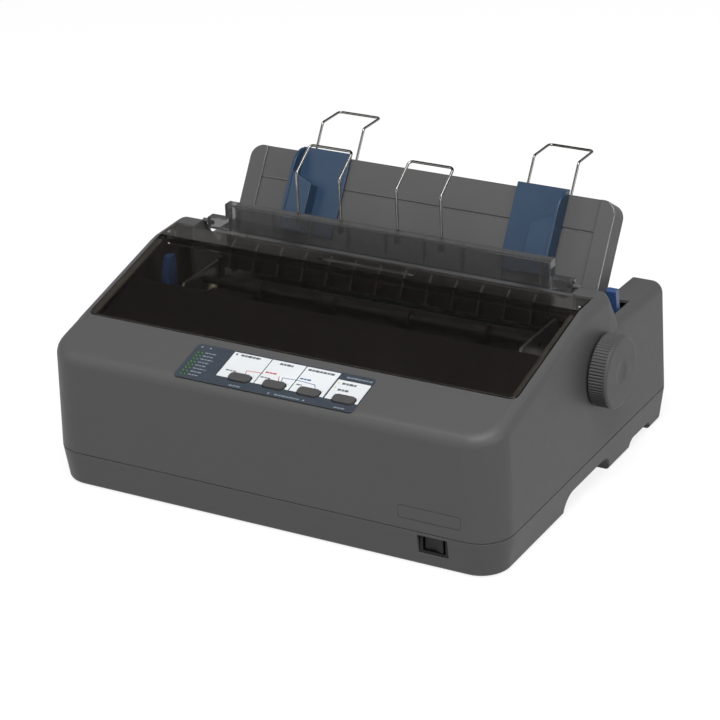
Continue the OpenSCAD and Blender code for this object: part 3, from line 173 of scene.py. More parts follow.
def build_moulded_grain():
    """Tone, roughness and height of eroded moulded plastic."""
    tree, given, result = new_group(
        "moulded_grain",
        [("Grain Scale", 1800.0), ("Gloss", 0.45), ("Gloss Drift", 0.06), ("Patch Scale", 14.0)],
        ["Tone", "Roughness", "Height"],
    )
    place = put(tree, "ShaderNodeTexCoord").outputs["Object"]
    grain = noise(tree, given["Grain Scale"], 2.0, 0.55, place)
    patches = noise(tree, given["Patch Scale"], 4.0, 0.6, place)
    fine_patches = noise(tree, maths(tree, "MULTIPLY", given["Patch Scale"], 9.0), 3.0, 0.55, place)
    tone = maths(tree, "ADD", maths(tree, "MULTIPLY", patches, 0.6), maths(tree, "MULTIPLY", grain, 0.4))
    tree.links.new(spread(tree, tone, 0.0, 1.0), result["Tone"])
    drift = maths(tree, "MULTIPLY", spread(tree, fine_patches, -1.0, 1.0), given["Gloss Drift"])
    tree.links.new(maths(tree, "ADD", given["Gloss"], drift), result["Roughness"])
    tree.links.new(grain, result["Height"])
    return tree


MOULDED = build_moulded_grain()
print("group", MOULDED.name, "with", len(MOULDED.nodes), "nodes")

# %% [markdown]
# ## Drawn and ground metal
# Wire is pulled through a die and shafts are ground, and both leave faint lines along or
# round the work. A noise texture squeezed hard in one direction gives those lines. The
# amount of squeeze along each axis is an input, so one group serves shafts that lie across
# the printer, socket shells drawn from front to back, and plated sheet and bright wire
# with no direction at all.

# %% Group: drawn metal


def build_drawn_metal():
    """Streaky tone, roughness and height, stretched along the axis with the small scale."""
    tree, given, result = new_group(
        "drawn_metal",
        [("Scale X", 900.0), ("Scale Y", 900.0), ("Scale Z", 900.0), ("Gloss", 0.3), ("Gloss Drift", 0.08)],
        ["Tone", "Roughness", "Height"],
    )
    place = put(tree, "ShaderNodeTexCoord").outputs["Object"]
    scales = put(
        tree, "ShaderNodeCombineXYZ",
        [("X", given["Scale X"]), ("Y", given["Scale Y"]), ("Z", given["Scale Z"])],
    ).outputs[0]
    stretched = put(
        tree, "ShaderNodeVectorMath", [(0, place), (1, scales)], operation="MULTIPLY"
    ).outputs[0]
    lines = noise(tree, 1.0, 3.0, 0.6, stretched)
    stains = noise(tree, 60.0, 4.0, 0.6, place)
    tone = maths(tree, "ADD", maths(tree, "MULTIPLY", lines, 0.5), maths(tree, "MULTIPLY", stains, 0.5))
    tree.links.new(spread(tree, tone, 0.0, 1.0), result["Tone"])
    drift = maths(tree, "MULTIPLY", spread(tree, lines, -1.0, 1.0), given["Gloss Drift"])
    tree.links.new(maths(tree, "ADD", given["Gloss"], drift), result["Roughness"])
    tree.links.new(lines, result["Height"])
    return tree


DRAWN = build_drawn_metal()
print("group", DRAWN.name, "with", len(DRAWN.nodes), "nodes")

# %% [markdown]
# ## Polished clear plastic
# The cover is injection moulded in a polished tool, so it has no grain. What shows on it
# is the very slight waviness of the melt and a haze left by wiping. Both are weak. A
# stronger bump would look like textured glass, and the inside of the printer would blur.

# %% Group: polished sheet


def build_polished_sheet():
    """Haze, roughness and the faint waviness of polished clear plastic."""
    tree, given, result = new_group(
        "polished_sheet", [("Gloss", 0.05), ("Haze", 0.03)], ["Tone", "Roughness", "Height"]
    )
    place = put(tree, "ShaderNodeTexCoord").outputs["Object"]
    wipes = noise(tree, 22.0, 5.0, 0.65, place)
    waves = noise(tree, 9.0, 1.0, 0.4, place)
    haze = maths(tree, "MULTIPLY", spread(tree, wipes, 0.0, 1.0, 0.45, 0.75), given["Haze"])
    tree.links.new(spread(tree, wipes, 0.0, 1.0), result["Tone"])
    tree.links.new(maths(tree, "ADD", given["Gloss"], haze), result["Roughness"])
    tree.links.new(waves, result["Height"])
    return tree


POLISHED = build_polished_sheet()
print("group", POLISHED.name, "with", len(POLISHED.nodes), "nodes")

# %% [markdown]
# ## From a group to a material
# All finishes share one recipe: the group's tone slides the base colour between a darker
# and a lighter version, its roughness goes straight in, and its height drives a bump of
# a few hundredths of a millimetre at most. Whatever is the same all over, such as the
# metallic value or the strength of the highlight, is set on the shader itself.

# %% Recipe for a finish


def linear(level):
    """One screen colour value, 0 to 255, as linear light."""
    share = level / 255
    return share / 12.92 if share <= 0.04045 else ((share + 0.055) / 1.055) ** 2.4


def paint(red, green, blue, gain=1.0):
    """A screen colour as the shader's colour."""
    return (linear(red) * gain, linear(green) * gain, linear(blue) * gain, 1.0)


def make_finish(slot, colour, group, values, contrast=0.06, relief=0.02, **constants):
    """A material for one slot: group drives colour, roughness and bump."""
    material = bpy.data.materials.new(slot)
    material.use_nodes = True
    tree = material.node_tree
    shader = tree.nodes["Principled BSDF"]
    surface = put(tree, "ShaderNodeGroup", node_tree=group)
    for key, value in values.items():
        surface.inputs[key].default_value = value
    blend = put(tree, "ShaderNodeMix", data_type="RGBA")
    tree.links.new(surface.outputs["Tone"], blend.inputs[0])
    blend.inputs[6].default_value = paint(*colour, gain=1 - contrast)
    blend.inputs[7].default_value = paint(*colour, gain=1 + contrast)
    tree.links.new(blend.outputs[2], shader.inputs["Base Color"])
    tree.links.new(surface.outputs["Roughness"], shader.inputs["Roughness"])
    bump = put(
        tree, "ShaderNodeBump",
        [("Height", surface.outputs["Height"]), ("Strength", 0.5), ("Distance", relief * MM)],
    )
    tree.links.new(bump.outputs["Normal"], shader.inputs["Normal"])
    for key, value in constants.items():
        shader.inputs[key.replace("_", " ")].default_value = value
    return material


finish = {}


def plastic(slot, colour, gloss, grain=1800.0, drift=0.06, **more):
    """A moulded plastic with its own colour, gloss and grain."""
    values = {"Gloss": gloss, "Gloss Drift": drift, "Grain Scale": grain}
    finish[slot] = make_finish(slot, colour, MOULDED, values, **more)


def metal(slot, colour, gloss, scales=(900.0, 900.0, 900.0), drift=0.08, **more):
    """A metal with streaks squeezed by three scales."""
    values = {"Gloss": gloss, "Gloss Drift": drift}
    for axis, scale in zip("XYZ", scales):
        values["Scale " + axis] = scale
    finish[slot] = make_finish(slot, colour, DRAWN, values, relief=0.05 * drift, Metallic=1.0, **more)


# %% [markdown]
# ## The finishes
# The case is one charcoal plastic. The photograph shows the same pigment lighter on the
# deck and darker on the front, which is the light's work, so it gets one colour here.
# Inside, nearly everything is black, natural nylon or plated steel. Two more finishes belong to no solid
# and go on the rounded edges of some, further down: a glossy one for rubbed edges, and a lighter grey for
# the comb's rib edges, which is a painted highlight.

# %% Plastics, rubbers and boards
plastic("case_charcoal", (86, 86, 86), 0.5, drift=0.015, contrast=0.008, Specular_IOR_Level=0.35)
plastic("knob_grey", (80, 80, 80), 0.5, drift=0.02, contrast=0.01, Specular_IOR_Level=0.35)
plastic(
    "worn_edge", (86, 86, 86), 0.2, relief=0.002, contrast=0.02,
    Specular_IOR_Level=1.0, Coat_Weight=1.0,
)
# A lighter grey than the black comb, for its rib edges: a painted highlight.
plastic("rib_edge_painted_highlight", (74, 73, 71), 0.35, relief=0.002, contrast=0.02)
plastic("inner_black", (19, 18, 17), 0.48, contrast=0.12)
plastic("guide_blue", (44, 66, 91), 0.36, drift=0.03, contrast=0.03)
# A lighter, stronger copy of the guides' blue for the two levers: painted light.
plastic("lever_blue_painted_light", (54, 82, 130), 0.34, drift=0.03, contrast=0.03)
plastic("button_grey", (80, 79, 80), 0.42, contrast=0.04)
plastic("switch_black", (24, 24, 25), 0.4, grain=900.0, relief=0.004, Specular_IOR_Level=0.25)
plastic("label_slate", (64, 71, 80), 0.32, grain=2600.0, relief=0.004)
plastic("gear_nylon", (206, 201, 183), 0.42, contrast=0.05)
plastic("bush_white", (214, 210, 196), 0.4, contrast=0.04)
plastic("board_green", (22, 78, 44), 0.3, grain=700.0, contrast=0.15)
plastic("supply_board", (128, 104, 58), 0.45, grain=700.0, contrast=0.12)
plastic("lamp_green", (62, 116, 44), 0.2, grain=3000.0, relief=0.002, Coat_Weight=0.5)
plastic("platen_rubber", (17, 17, 18), 0.72, grain=2400.0, contrast=0.15, relief=0.04)
plastic("foot_rubber", (30, 30, 30), 0.75, grain=1500.0, contrast=0.12, relief=0.05)
plastic("belt_black", (24, 24, 25), 0.6, grain=1600.0, contrast=0.15, relief=0.05)
plastic("head_aluminium", (62, 62, 66), 0.4, grain=1200.0, contrast=0.1, Metallic=0.7)
plastic("motor_case", (120, 122, 125), 0.36, grain=1400.0, Metallic=0.8)
print(len(finish), "plastics and rubbers")

# %% Metals
metal("wire_steel", (150, 149, 146), 0.1, (400.0, 400.0, 400.0), drift=0.0, contrast=0.01)
metal("shaft_steel", (200, 202, 206), 0.24, (60.0, 1400.0, 1400.0))
metal("frame_steel", (168, 171, 176), 0.42, (500.0, 500.0, 500.0))
metal("socket_metal", (178, 180, 184), 0.34, (700.0, 120.0, 700.0))
metal("screw_steel", (170, 172, 174), 0.36)
metal("pinion_brass", (196, 158, 84), 0.3, (120.0, 1200.0, 1200.0))
print(len(finish), "finishes")

# %% [markdown]
# ## Smoked cover and translucent guide
# The cover passes a bit more than half of the light and tints it brown. Glass in a path
# tracer stops the rays that look for lamps, so everything behind it would be black and
# speckled. Real smoked plastic lets lamp light in. A transparent shader stands in for
# those rays only: it is mixed in by Light Path's Is Shadow Ray, which neither the camera
# nor a reflection ever sees. The sheet guide is made of a greyer plastic with pigment in
# it, so a sixth of its light comes from its own surface and the rest passes through.

# %% Clear finishes


def make_clear(slot, tint, gloss, haze, transmission, shadow_tint, **more):
    """A see-through plastic that lets lamp light through to what it covers."""
    values = {"Gloss": gloss, "Haze": haze}
    material = make_finish(
        slot, tint, POLISHED, values, contrast=0.02, relief=0.01,
        Transmission_Weight=transmission, IOR=CLEAR_IOR, **more
    )
    tree = material.node_tree
    shader = tree.nodes["Principled BSDF"]
    passing = put(tree, "ShaderNodeBsdfTransparent", [("Color", paint(*shadow_tint))])
    rays = put(tree, "ShaderNodeLightPath")
    either = put(tree, "ShaderNodeMixShader")
    tree.links.new(rays.outputs["Is Shadow Ray"], either.inputs[0])
    tree.links.new(shader.outputs[0], either.inputs[1])
    tree.links.new(passing.outputs[0], either.inputs[2])
    tree.links.new(either.outputs[0], tree.nodes["Material Output"].inputs["Surface"])
    finish[slot] = material


CLEAR_IOR = 1.49
make_clear("smoked_cover", (195, 190, 184), 0.05, 0.03, 0.997, (196, 192, 187), Specular_IOR_Level=1.0)
make_clear("sheet_guide_smoke", (134, 134, 134), 0.03, 0.0, 0.84, (150, 150, 150))
print(len(finish), "finishes with the two clear ones")

# %% [markdown]
# ## Dressing a solid
# A solid from the CAD side has edges of no width, and no real edge is that sharp: they
# all carry a radius from the mould or the press, and that radius is what draws the thin
# bright lines along a product's edges. So each visible solid gets a copy that is merged
# into whole faces, rounded by the bevel operator, and shaded smooth. Only edges that are
# truly corners are picked: the small angles between the strips of a curved wall are left
# to the shading, or the bevel would plough through them. Weighted normals then keep the
# large faces flat right up to the new rounding.

# %% Merging and rounding
FACET_ANGLE = math.radians(24)
MERGE_GAP = 0.004 * MM
FLAT_ANGLE = math.radians(0.05)
SHORTEST_EDGE = 1.6


def merged(node):
    """A CAD node as a bmesh with shared corners and whole flat faces."""
    bm = bmesh.new()
    bm.from_mesh(nodes[node].data)
    bmesh.ops.remove_doubles(bm, verts=bm.verts, dist=MERGE_GAP)
    bmesh.ops.dissolve_limit(bm, angle_limit=FLAT_ANGLE, verts=bm.verts, edges=bm.edges)
    return bm


def corner_edges(bm, width):
    """The edges that are real corners and long enough to round to a width."""
    corners = [edge for edge in bm.edges if edge.is_convex and edge.calc_face_angle(0) > FACET_ANGLE]
    return [edge for edge in corners if edge.calc_length() > SHORTEST_EDGE * width]


def round_off(bm, edges, width, segments=2, material=-1):
    """Rounds the given edges with the bevel operator."""
    bmesh.ops.bevel(
        bm, geom=edges, offset=width, offset_type="OFFSET", affect="EDGES",
        segments=segments, profile=0.5, material=material, clamp_overlap=False,
    )


# %% [markdown]
# ## From a mesh to a piece of the printer
# A piece needs more than a mesh. It rides on a body, so that it moves with that body's
# joint. It has a slot, which says what it is made of, and it can replace solids. One
# function does all of that, so nothing is left behind when a joint moves. It also keeps
# large faces with many corners flat shaded, because smoothing would draw a star across
# their triangles.

# %% Settling a piece
SCENE = bpy.context.scene.collection
SMOOTH_ANGLE = math.radians(50)
FLAT_AREA = 25 * MM * MM


def settle(name, bm, body, slot, *stands_for, smooth=True):
    """Makes a bmesh an object of the printer that rides on a body in a slot's finish."""
    for face in bm.faces:
        face.smooth = smooth and not (len(face.verts) > 4 and face.calc_area() > FLAT_AREA)
    bmesh.ops.triangulate(bm, faces=[face for face in bm.faces if len(face.verts) > 4])
    shaded = [face.smooth for face in bm.faces]
    mesh = bpy.data.meshes.new(name)
    bm.to_mesh(mesh)
    bm.free()
    mesh.materials.append(finish[slot])
    if smooth:
        mesh.set_sharp_from_angle(angle=SMOOTH_ANGLE)
        mesh.polygons.foreach_set("use_smooth", shaded)
    piece = bpy.data.objects.new(name, mesh)
    SCENE.objects.link(piece)
    if smooth:
        piece.modifiers.new("even_faces", "WEIGHTED_NORMAL").keep_sharp = True
    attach(piece, body)
    if stands_for:
        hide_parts(*stands_for)
    return piece


def dress(node, width_mm, edge_finish):
    """Replaces a CAD node by its rounded copy; its new edges can take a second finish."""
    bm = merged(node)
    width = width_mm * MM
    round_off(bm, corner_edges(bm, width), width, material=1 if edge_finish else -1)
    piece = settle(node + "_finished", bm, nodes[node]["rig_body"], slot_of[node], node)
    if edge_finish:
        piece.data.materials.append(finish[edge_finish])
    return piece


# %% [markdown]
# ## Which edge gets which radius
# The paper guide, the levers and the edge guides have the largest edge radius. The label,
# the belt, the fine ribs of the knob, pressed sheet, and the lower case at its narrow seam
# have the smallest. Everything not named here gets a quarter of a millimetre. Gears keep
# their imported meshes, because their teeth are finer than any rounding that would show.
# Paper has rubbed the edges of the paper guide shiny, so those edges get a glossier finish of their own.
# The comb's rib edges get a lighter grey, which is a painted highlight. The two levers get a lighter,
# stronger copy of the guides' blue, which paints in the light that falls on them.

# %% Dress the solids
ROUNDING = {
    "upper_case": 0.35, "lower_case": 0.15, "printer_cover": 0.35, "paper_guide": 0.7,
    "sheet_guide": 0.2, "edge_guide_left": 0.45, "edge_guide_right": 0.45, "platen_knob": 0.1,
    "release_lever": 0.45, "thickness_lever": 0.5, "power_rocker": 0.35, "power_switch": 0.25,
    "button_1": 0.3, "button_2": 0.3, "button_3": 0.3, "button_4": 0.3, "control_label": 0.08,
    "side_frame_left": 0.15, "side_frame_right": 0.15, "timing_belt": 0.1, "ribbon_cartridge": 0.35,
    "rib_guide": 0.4, "tractor_left": 0.3, "tractor_right": 0.3, "tractor_door_left": 0.2,
    "tractor_door_right": 0.2,
}
PLAIN_ROUNDING = 0.25
KEPT = {"platen_gear", "reduction_gear", "feed_pinion", "tractor_idler", "tractor_gear"}
# The comb's edge finish is a painted highlight; the paper guide's is only glossier.
WORN_AND_HIGHLIGHT_EDGES = {"paper_guide": "worn_edge", "rib_guide": "rib_edge_painted_highlight"}
REBUILT = {"sheet_wire_left", "sheet_wire_centre", "tray_wire_left", "tray_wire_right", "led_lamps"}

for node in sorted(KEPT):
    nodes[node].data.materials.clear()
    nodes[node].data.materials.append(finish[slot_of[node]])
dressed = {}
for node in nodes:
    if node not in KEPT | REBUILT:
        dressed[node] = dress(node, ROUNDING.get(node, PLAIN_ROUNDING), WORN_AND_HIGHLIGHT_EDGES.get(node))
# The levers' lighter blue paints in the light that falls on them.
for node in ("release_lever", "thickness_lever"):
    dressed[node].data.materials[0] = finish["lever_blue_painted_light"]
print("dressed", len(dressed), "solids, kept", len(KEPT))

# %% [markdown]
# ## Bent wire
# The four loops that hold paper are 2 mm steel wire, bent round a pin at every corner. A
# tube swept through sharp corners would pinch there. The path is therefore drawn first,
# as a chain of edges, and the bevel operator rounds its corners as it would round the
# corners of a face. The rounded chain becomes a curve with a round section.

# %% A bent wire
WIRE_RADIUS = 1.0 * MM
WIRE_BEND = 3.0 * MM
BEND_STEPS = 7


def bent_path(corners, bend):
    """Points along a chain of straight legs whose corners are rounded to a radius."""
    bm = bmesh.new()
    chain = [bm.verts.new(corner) for corner in corners]
    for first, second in zip(chain, chain[1:]):
        bm.edges.new((first, second))
    for before, corner, after in zip(corners, corners[1:], corners[2:]):
        turn = (corner - before).angle(after - corner)
        knee = min(bm.verts, key=lambda vert: (vert.co - corner).length)
        bmesh.ops.bevel(
            bm, geom=[knee], offset=bend * math.tan(turn / 2), offset_type="OFFSET",
            affect="VERTICES", segments=BEND_STEPS, profile=0.5, material=-1, clamp_overlap=False,
        )
    here = min(bm.verts, key=lambda vert: (vert.co - corners[0]).length)
    walked, path = {here}, [here.co.copy()]
    while True:
        ahead = [edge.other_vert(here) for edge in here.link_edges if edge.other_vert(here) not in walked]
        if not ahead:
            break
        here = ahead[0]
        walked.add(here)
        path.append(here.co.copy())
    bm.free()
    return path


def wire_loop(node, corners):
    """A bent wire that stands for a CAD wire."""
    path = bent_path(corners, WIRE_BEND)
    curve = bpy.data.curves.new(node, "CURVE")
    curve.dimensions = "3D"
    curve.bevel_depth = WIRE_RADIUS
    curve.bevel_resolution = 4
    curve.use_fill_caps = True
    spline = curve.splines.new("POLY")
    spline.points.add(len(path) - 1)
    for point, place in zip(spline.points, path):
        point.co = (*place, 1.0)
    swept = bpy.data.objects.new(node, curve)
    SCENE.objects.link(swept)
    bm = bmesh.new()
    bm.from_mesh(bpy.data.meshes.new_from_object(swept))
    bpy.data.objects.remove(swept)
    settle(node + "_bent", bm, nodes[node]["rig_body"], slot_of[node], node)


# %% [markdown]
# ## The four loops
# Two loops stand on the sheet guide and lean back at the top. Two more stand on the paper
# guide and end in a level reach to the back. All four are equally wide, and both sides of
# a loop are alike, so one side's corners and the place of each loop are enough.

# %% Wires
WIRE_HALF = 17.3
SHEET_WIRE_Y = 179.2
SHEET_WIRE_RISE = [(SHEET_WIRE_Y, 144), (SHEET_WIRE_Y, 183), (SHEET_WIRE_Y + 20.5, 197)]
SHEET_WIRES = {"sheet_wire_left": -53.8, "sheet_wire_centre": 26.2}
for node, x in SHEET_WIRES.items():
    rise = [at(x - WIRE_HALF, y, z) for y, z in SHEET_WIRE_RISE]
    fall = [at(x + WIRE_HALF, y, z) for y, z in reversed(SHEET_WIRE_RISE)]
    wire_loop(node, rise + fall)

TRAY_WIRE_BACK = 11
TRAY_WIRE_FOOT = 62
TRAY_WIRE_BEND = 100
TRAY_WIRE_REACH = Vector((0, 25 * MM, 0))
TRAY_WIRES = {"tray_wire_left": -86.5, "tray_wire_right": 86.5}
for node, x in TRAY_WIRES.items():
    sides = []
    for side in (-WIRE_HALF, WIRE_HALF):
        foot = TRAY @ (Vector((x + side, TRAY_WIRE_BACK, TRAY_WIRE_FOOT)) * MM)
        bend = TRAY @ (Vector((x + side, TRAY_WIRE_BACK, TRAY_WIRE_BEND)) * MM)
        sides.append([foot, bend, bend + TRAY_WIRE_REACH])
    wire_loop(node, sides[0] + sides[1][::-1])
print("bent", len(SHEET_WIRES) + len(TRAY_WIRES), "wire loops")

# %% [markdown]
# ## The control label
# The label is a printed film on the deck. Its inks lie in layers a hair apart: white
# fields for the four keys, slate lettering, and red and blue brackets that pair the keys.
# Here each ink is a thin raised layer, because a layer keeps a crisp edge at any distance.
# The lettering is plain bars of uneven length, with plain arrows beside them.

# %% Inks
INKS = {
    "ink_white": (226, 230, 232),
    "ink_slate": (96, 102, 110),
    "ink_red": (186, 62, 58),
    "ink_blue": (58, 92, 148),
    "ink_pale": (128, 138, 147),
    "ink_yellow": (206, 194, 112),
}
INK_SURFACE = {"Gloss": 0.35, "Grain Scale": 2600.0}
for slot, colour in INKS.items():
    finish[slot] = make_finish(slot, colour, MOULDED, INK_SURFACE, relief=0.002)
print("mixed", len(INKS), "inks")

# %% [markdown]
# ## Shapes to print with
# Four shapes are enough: a flat field, a row of bars that stands for words, a line through
# points, and an arrow. They are drawn in millimetres across the label and up the deck, and
# the whole sheet is then laid on the slope. Words and lines sit a little above the fields,
# because two faces in one plane would flicker. The record knows no inks, so each sheet is
# in the label's slot and gets its own material afterwards.

# %% Shapes in ink
INK_Z = 0.4
INK_THICK = 0.05
WORD_LEVEL = 0.06
STROKES = (2.6, 1.7, 3.1, 2.1)
STROKE_GAP = 0.5
SHORTEST_STROKE = 0.4
LINE_THICK = 0.06
LINE_LAP = 0.7
ARROW_SIZE = 1.3
ARROW_LEVEL = 0.08


def patch(bm, x0, s0, x1, s1, level=0.0, corner=0.0):
    """A flat raised field of ink between two corners on the deck, in millimetres."""
    made = bmesh.ops.create_grid(bm, x_segments=1, y_segments=1, size=0.5)["verts"]
    bmesh.ops.scale(bm, vec=(x1 - x0, s1 - s0, 1), verts=made)
    bmesh.ops.translate(bm, vec=((x0 + x1) / 2, (s0 + s1) / 2, INK_Z + level), verts=made)
    if corner:
        made = bmesh.ops.bevel(
            bm, geom=made, offset=corner, offset_type="OFFSET", affect="VERTICES",
            segments=4, profile=0.5, material=-1, clamp_overlap=True,
        )["verts"]
    raised = bmesh.ops.extrude_face_region(bm, geom=[made[0].link_faces[0]], use_keep_orig=True)["geom"]
    bmesh.ops.translate(
        bm, vec=(0, 0, INK_THICK), verts=[part for part in raised if isinstance(part, bmesh.types.BMVert)]
    )


def bars(bm, runs, height):
    """Short bars in place of words: each run is cut into strokes of uneven length."""
    for left, right, middle in runs:
        x = left
        stroke = 0
        while x < right - SHORTEST_STROKE:
            length = STROKES[stroke % len(STROKES)]
            patch(bm, x, middle - height / 2, min(x + length, right), middle + height / 2, WORD_LEVEL)
            x += length + STROKE_GAP
            stroke += 1


def stroke_line(bm, points, width=0.5, level=WORD_LEVEL):
    """A thin printed line through points, as one narrow field for each leg."""
    for (xa, sa), (xb, sb) in zip(points, points[1:]):
        made = bmesh.ops.create_cube(bm, size=1.0)["verts"]
        length = math.hypot(xb - xa, sb - sa) + width * LINE_LAP
        turn = Matrix.Rotation(math.atan2(sb - sa, xb - xa), 4, "Z")
        place = Matrix.Translation(((xa + xb) / 2, (sa + sb) / 2, INK_Z + level))
        shape = Matrix.Diagonal((length, width, LINE_THICK, 1))
        bmesh.ops.transform(bm, matrix=place @ turn @ shape, verts=made)


def arrow(bm, x, s, pointing):
    """A small solid triangle that points along the deck."""
    made = bmesh.ops.create_cone(
        bm, segments=3, radius1=ARROW_SIZE, radius2=ARROW_SIZE, depth=LINE_THICK, cap_ends=True
    )["verts"]
    place = Matrix.Translation((x, s, INK_Z + ARROW_LEVEL)) @ Matrix.Rotation(pointing, 4, "Z")
    bmesh.ops.transform(bm, matrix=place, verts=made)


def print_ink(name, slot, draw):
    """Draws one ink with draw(bm) in deck millimetres and lays it on the label."""
    bm = bmesh.new()
    draw(bm)
    bmesh.ops.transform(bm, matrix=DECK @ Matrix.Scale(MM, 4), verts=bm.verts)
    bmesh.ops.recalc_face_normals(bm, faces=bm.faces)
    piece = settle(name, bm, "root", "label_slate", smooth=False)
    piece.data.materials[0] = finish[slot]


# %% [markdown]
# ## What is printed
# Each white field is open round one key, and a short stroke of white cuts off each upper
# corner of the opening. Words are rows in a list: where they start, where they end and how
# far up the deck they are. Brackets are lists of points. Distances across start at the
# middle of the printer, and distances up the deck at its front.

# %% Marks on the label
BUTTON_FIRST = -21.8
BUTTON_PITCH = 26.35
BUTTON_X = [BUTTON_FIRST + i * BUTTON_PITCH for i in range(4)]
BUTTON_S = 13.2
BUTTON_CLEAR = 8.7
BUTTON_TOP = BUTTON_S + 4.3
CORNER_REACH = 1.6
CORNER_LAP = 0.3
CORNER_WIDTH = 0.8
CORNER_LEVEL = 0.03
FIELDS = [(-39.3, -10.5, 37.8), (-9.8, 16.0, 37.8), (16.8, 42.2, 37.8), (43.5, 68.0, 31.8)]
FIELD_LOW = 11.6
LED_S = 7.1
LED_PITCH = 3.37
LED_ROWS = 8
DOT_X = (-64.3, -57.7)
DOT_S = 36.0
DOT_HALF = 0.8
DOT_CORNER = 0.75
DOT_LEVEL = 0.02


def white_fields(bm):
    """The four white fields, each open round its button."""
    for (left, right, top), button in zip(FIELDS, BUTTON_X):
        patch(bm, left, BUTTON_TOP, right, top)
        patch(bm, left, FIELD_LOW, button - BUTTON_CLEAR, BUTTON_TOP)
        patch(bm, button + BUTTON_CLEAR, FIELD_LOW, right, BUTTON_TOP)
        for side in (-1, 1):
            low = (button + side * (BUTTON_CLEAR + CORNER_LAP), BUTTON_TOP - CORNER_REACH)
            high = (button + side * (BUTTON_CLEAR - CORNER_REACH), BUTTON_TOP + CORNER_LAP)
            stroke_line(bm, [low, high], CORNER_WIDTH, CORNER_LEVEL)


def slate_marks(bm):
    """Words and marks in slate on the white fields."""
    headings = [(-33.3, -18.2, 35.6), (-2.8, 7.4, 35.0), (18.9, 38.8, 35.0)]
    bars(bm, headings + [(48.0, 58.6, 28.5), (48.0, 56.0, 22.0)], 1.9)
    bars(bm, [(-35.7, -28.0, 18.9), (-8.9, -1.6, 18.9), (18.6, 22.6, 18.9)], 1.1)
    arrow(bm, -36.7, 35.7, math.pi / 2)


def pale_marks(bm):
    """Words in a pale ink on the slate of the film."""
    bars(bm, [(48.0, 67.2, 35.2)], 1.5)
    bars(bm, [(-25.5, -16.5, 4.9), (9.4, 28.0, 4.9), (54.2, 61.9, 4.9)], 1.2)
    bars(bm, [(-58.8, -51.0 + (i % 3), LED_S + i * LED_PITCH) for i in range(LED_ROWS)], 1.0)
    arrow(bm, 5.0, 4.9, math.pi)
    arrow(bm, 31.5, 4.9, 0)
    for x in DOT_X:
        low, high = DOT_S - DOT_HALF, DOT_S + DOT_HALF
        patch(bm, x - DOT_HALF, low, x + DOT_HALF, high, DOT_LEVEL, DOT_CORNER)


def red_marks(bm):
    """The red bracket between the first two keys, with its word."""
    stroke_line(bm, [(-20.4, 18.2), (-21.3, 21.8), (-9.3, 22.5)])
    stroke_line(bm, [(3.3, 22.7), (5.2, 18.2)])
    bars(bm, [(-8.0, 0.7, 24.4)], 1.3)


def blue_marks(bm):
    """The blue bracket between the second and third keys, with its word."""
    stroke_line(bm, [(7.5, 18.2), (6.3, 22.1), (17.6, 22.7), (31.0, 21.8), (33.1, 18.2)])
    bars(bm, [(18.0, 26.2, 25.1)], 1.3)


def yellow_marks(bm):
    """Two yellow dashes before the words of the last field."""
    bars(bm, [(44.8, 46.0, 28.5), (44.8, 46.0, 23.6)], 1.0)


LAYERS = {
    "label_white_fields": ("ink_white", white_fields),
    "label_slate_marks": ("ink_slate", slate_marks),
    "label_pale_marks": ("ink_pale", pale_marks),
    "label_red_marks": ("ink_red", red_marks),
    "label_blue_marks": ("ink_blue", blue_marks),
    "label_yellow_marks": ("ink_yellow", yellow_marks),
}
for name, (slot, draw) in LAYERS.items():
    print_ink(name, slot, draw)
print("printed", len(LAYERS), "inks")

# %% [markdown]
# ## The lamps
# Sixteen small lamps show the fonts and the state of the printer. Each is the rounded end
# of a clear green rod that comes up through the film. A cone from the operator, closed at
# the top and beveled there, makes the rod and its dome in one go.

# %% Lamp rods
LED_X = -62.9
LED_HALF_STEP = 1.5
LED_RADIUS = 0.95
LED_DOME = 0.45
LED_LOW = -6.0
LED_TOP = 0.4
HOLDER_WIDTH = 6
HOLDER_THICK = 1.5
HOLDER_Z = -6.25


def lamp_rods():
    """Rods with domed ends, and the strip that carries them."""
    bm = bmesh.new()
    depth = LED_TOP - LED_LOW
    for column in (-LED_HALF_STEP, LED_HALF_STEP):
        for row in range(LED_ROWS):
            made = bmesh.ops.create_cone(
                bm, segments=20, radius1=LED_RADIUS, radius2=LED_RADIUS, depth=depth, cap_ends=True
            )["verts"]
            place = (LED_X + column, LED_S + row * LED_PITCH, (LED_TOP + LED_LOW) / 2)
            bmesh.ops.translate(bm, vec=place, verts=made)
    rims = [
        edge for edge in bm.edges
        if edge.calc_face_angle(0) > FACET_ANGLE and edge.verts[0].co.z > 0 and edge.verts[1].co.z > 0
    ]
    round_off(bm, rims, LED_DOME, segments=4)
    holder = bmesh.ops.create_cube(bm, size=1.0)["verts"]
    span = (LED_ROWS - 1) * LED_PITCH
    bmesh.ops.scale(bm, vec=(HOLDER_WIDTH, span + 2 * LED_HALF_STEP, HOLDER_THICK), verts=holder)
    bmesh.ops.translate(bm, vec=(LED_X, LED_S + span / 2, HOLDER_Z), verts=holder)
    bmesh.ops.transform(bm, matrix=DECK @ Matrix.Scale(MM, 4), verts=bm.verts)
    return bm


settle("lamp_rods", lamp_rods(), "root", "lamp_green", "led_lamps")
print("lamps on the label", 2 * LED_ROWS)

# %% [markdown]
# ## Studio
# The printer stands on a white floor that runs out past the picture, so the whole
# background is that floor. It is lit like everything else, so it keeps the printer's soft
# shadow. It also glows, for camera, mirror and glass rays only, so that it reads as white
# where no shadow falls. Three broad lamps do the work: one low on the right, which draws
# the bright edges there, one above, and a weak one at the left. The sky is light near the
# horizon and dim overhead, because a polished sloping cover mirrors what is overhead, and
# the cover is nearly black in the photograph.

# %% Floor and sky
FLOOR_SIZE = 30.0
FLOOR_TONE = 0.22
FLOOR_GLOW = 0.85
SKY_LOW = 0.42
SKY_HIGH = 0.02


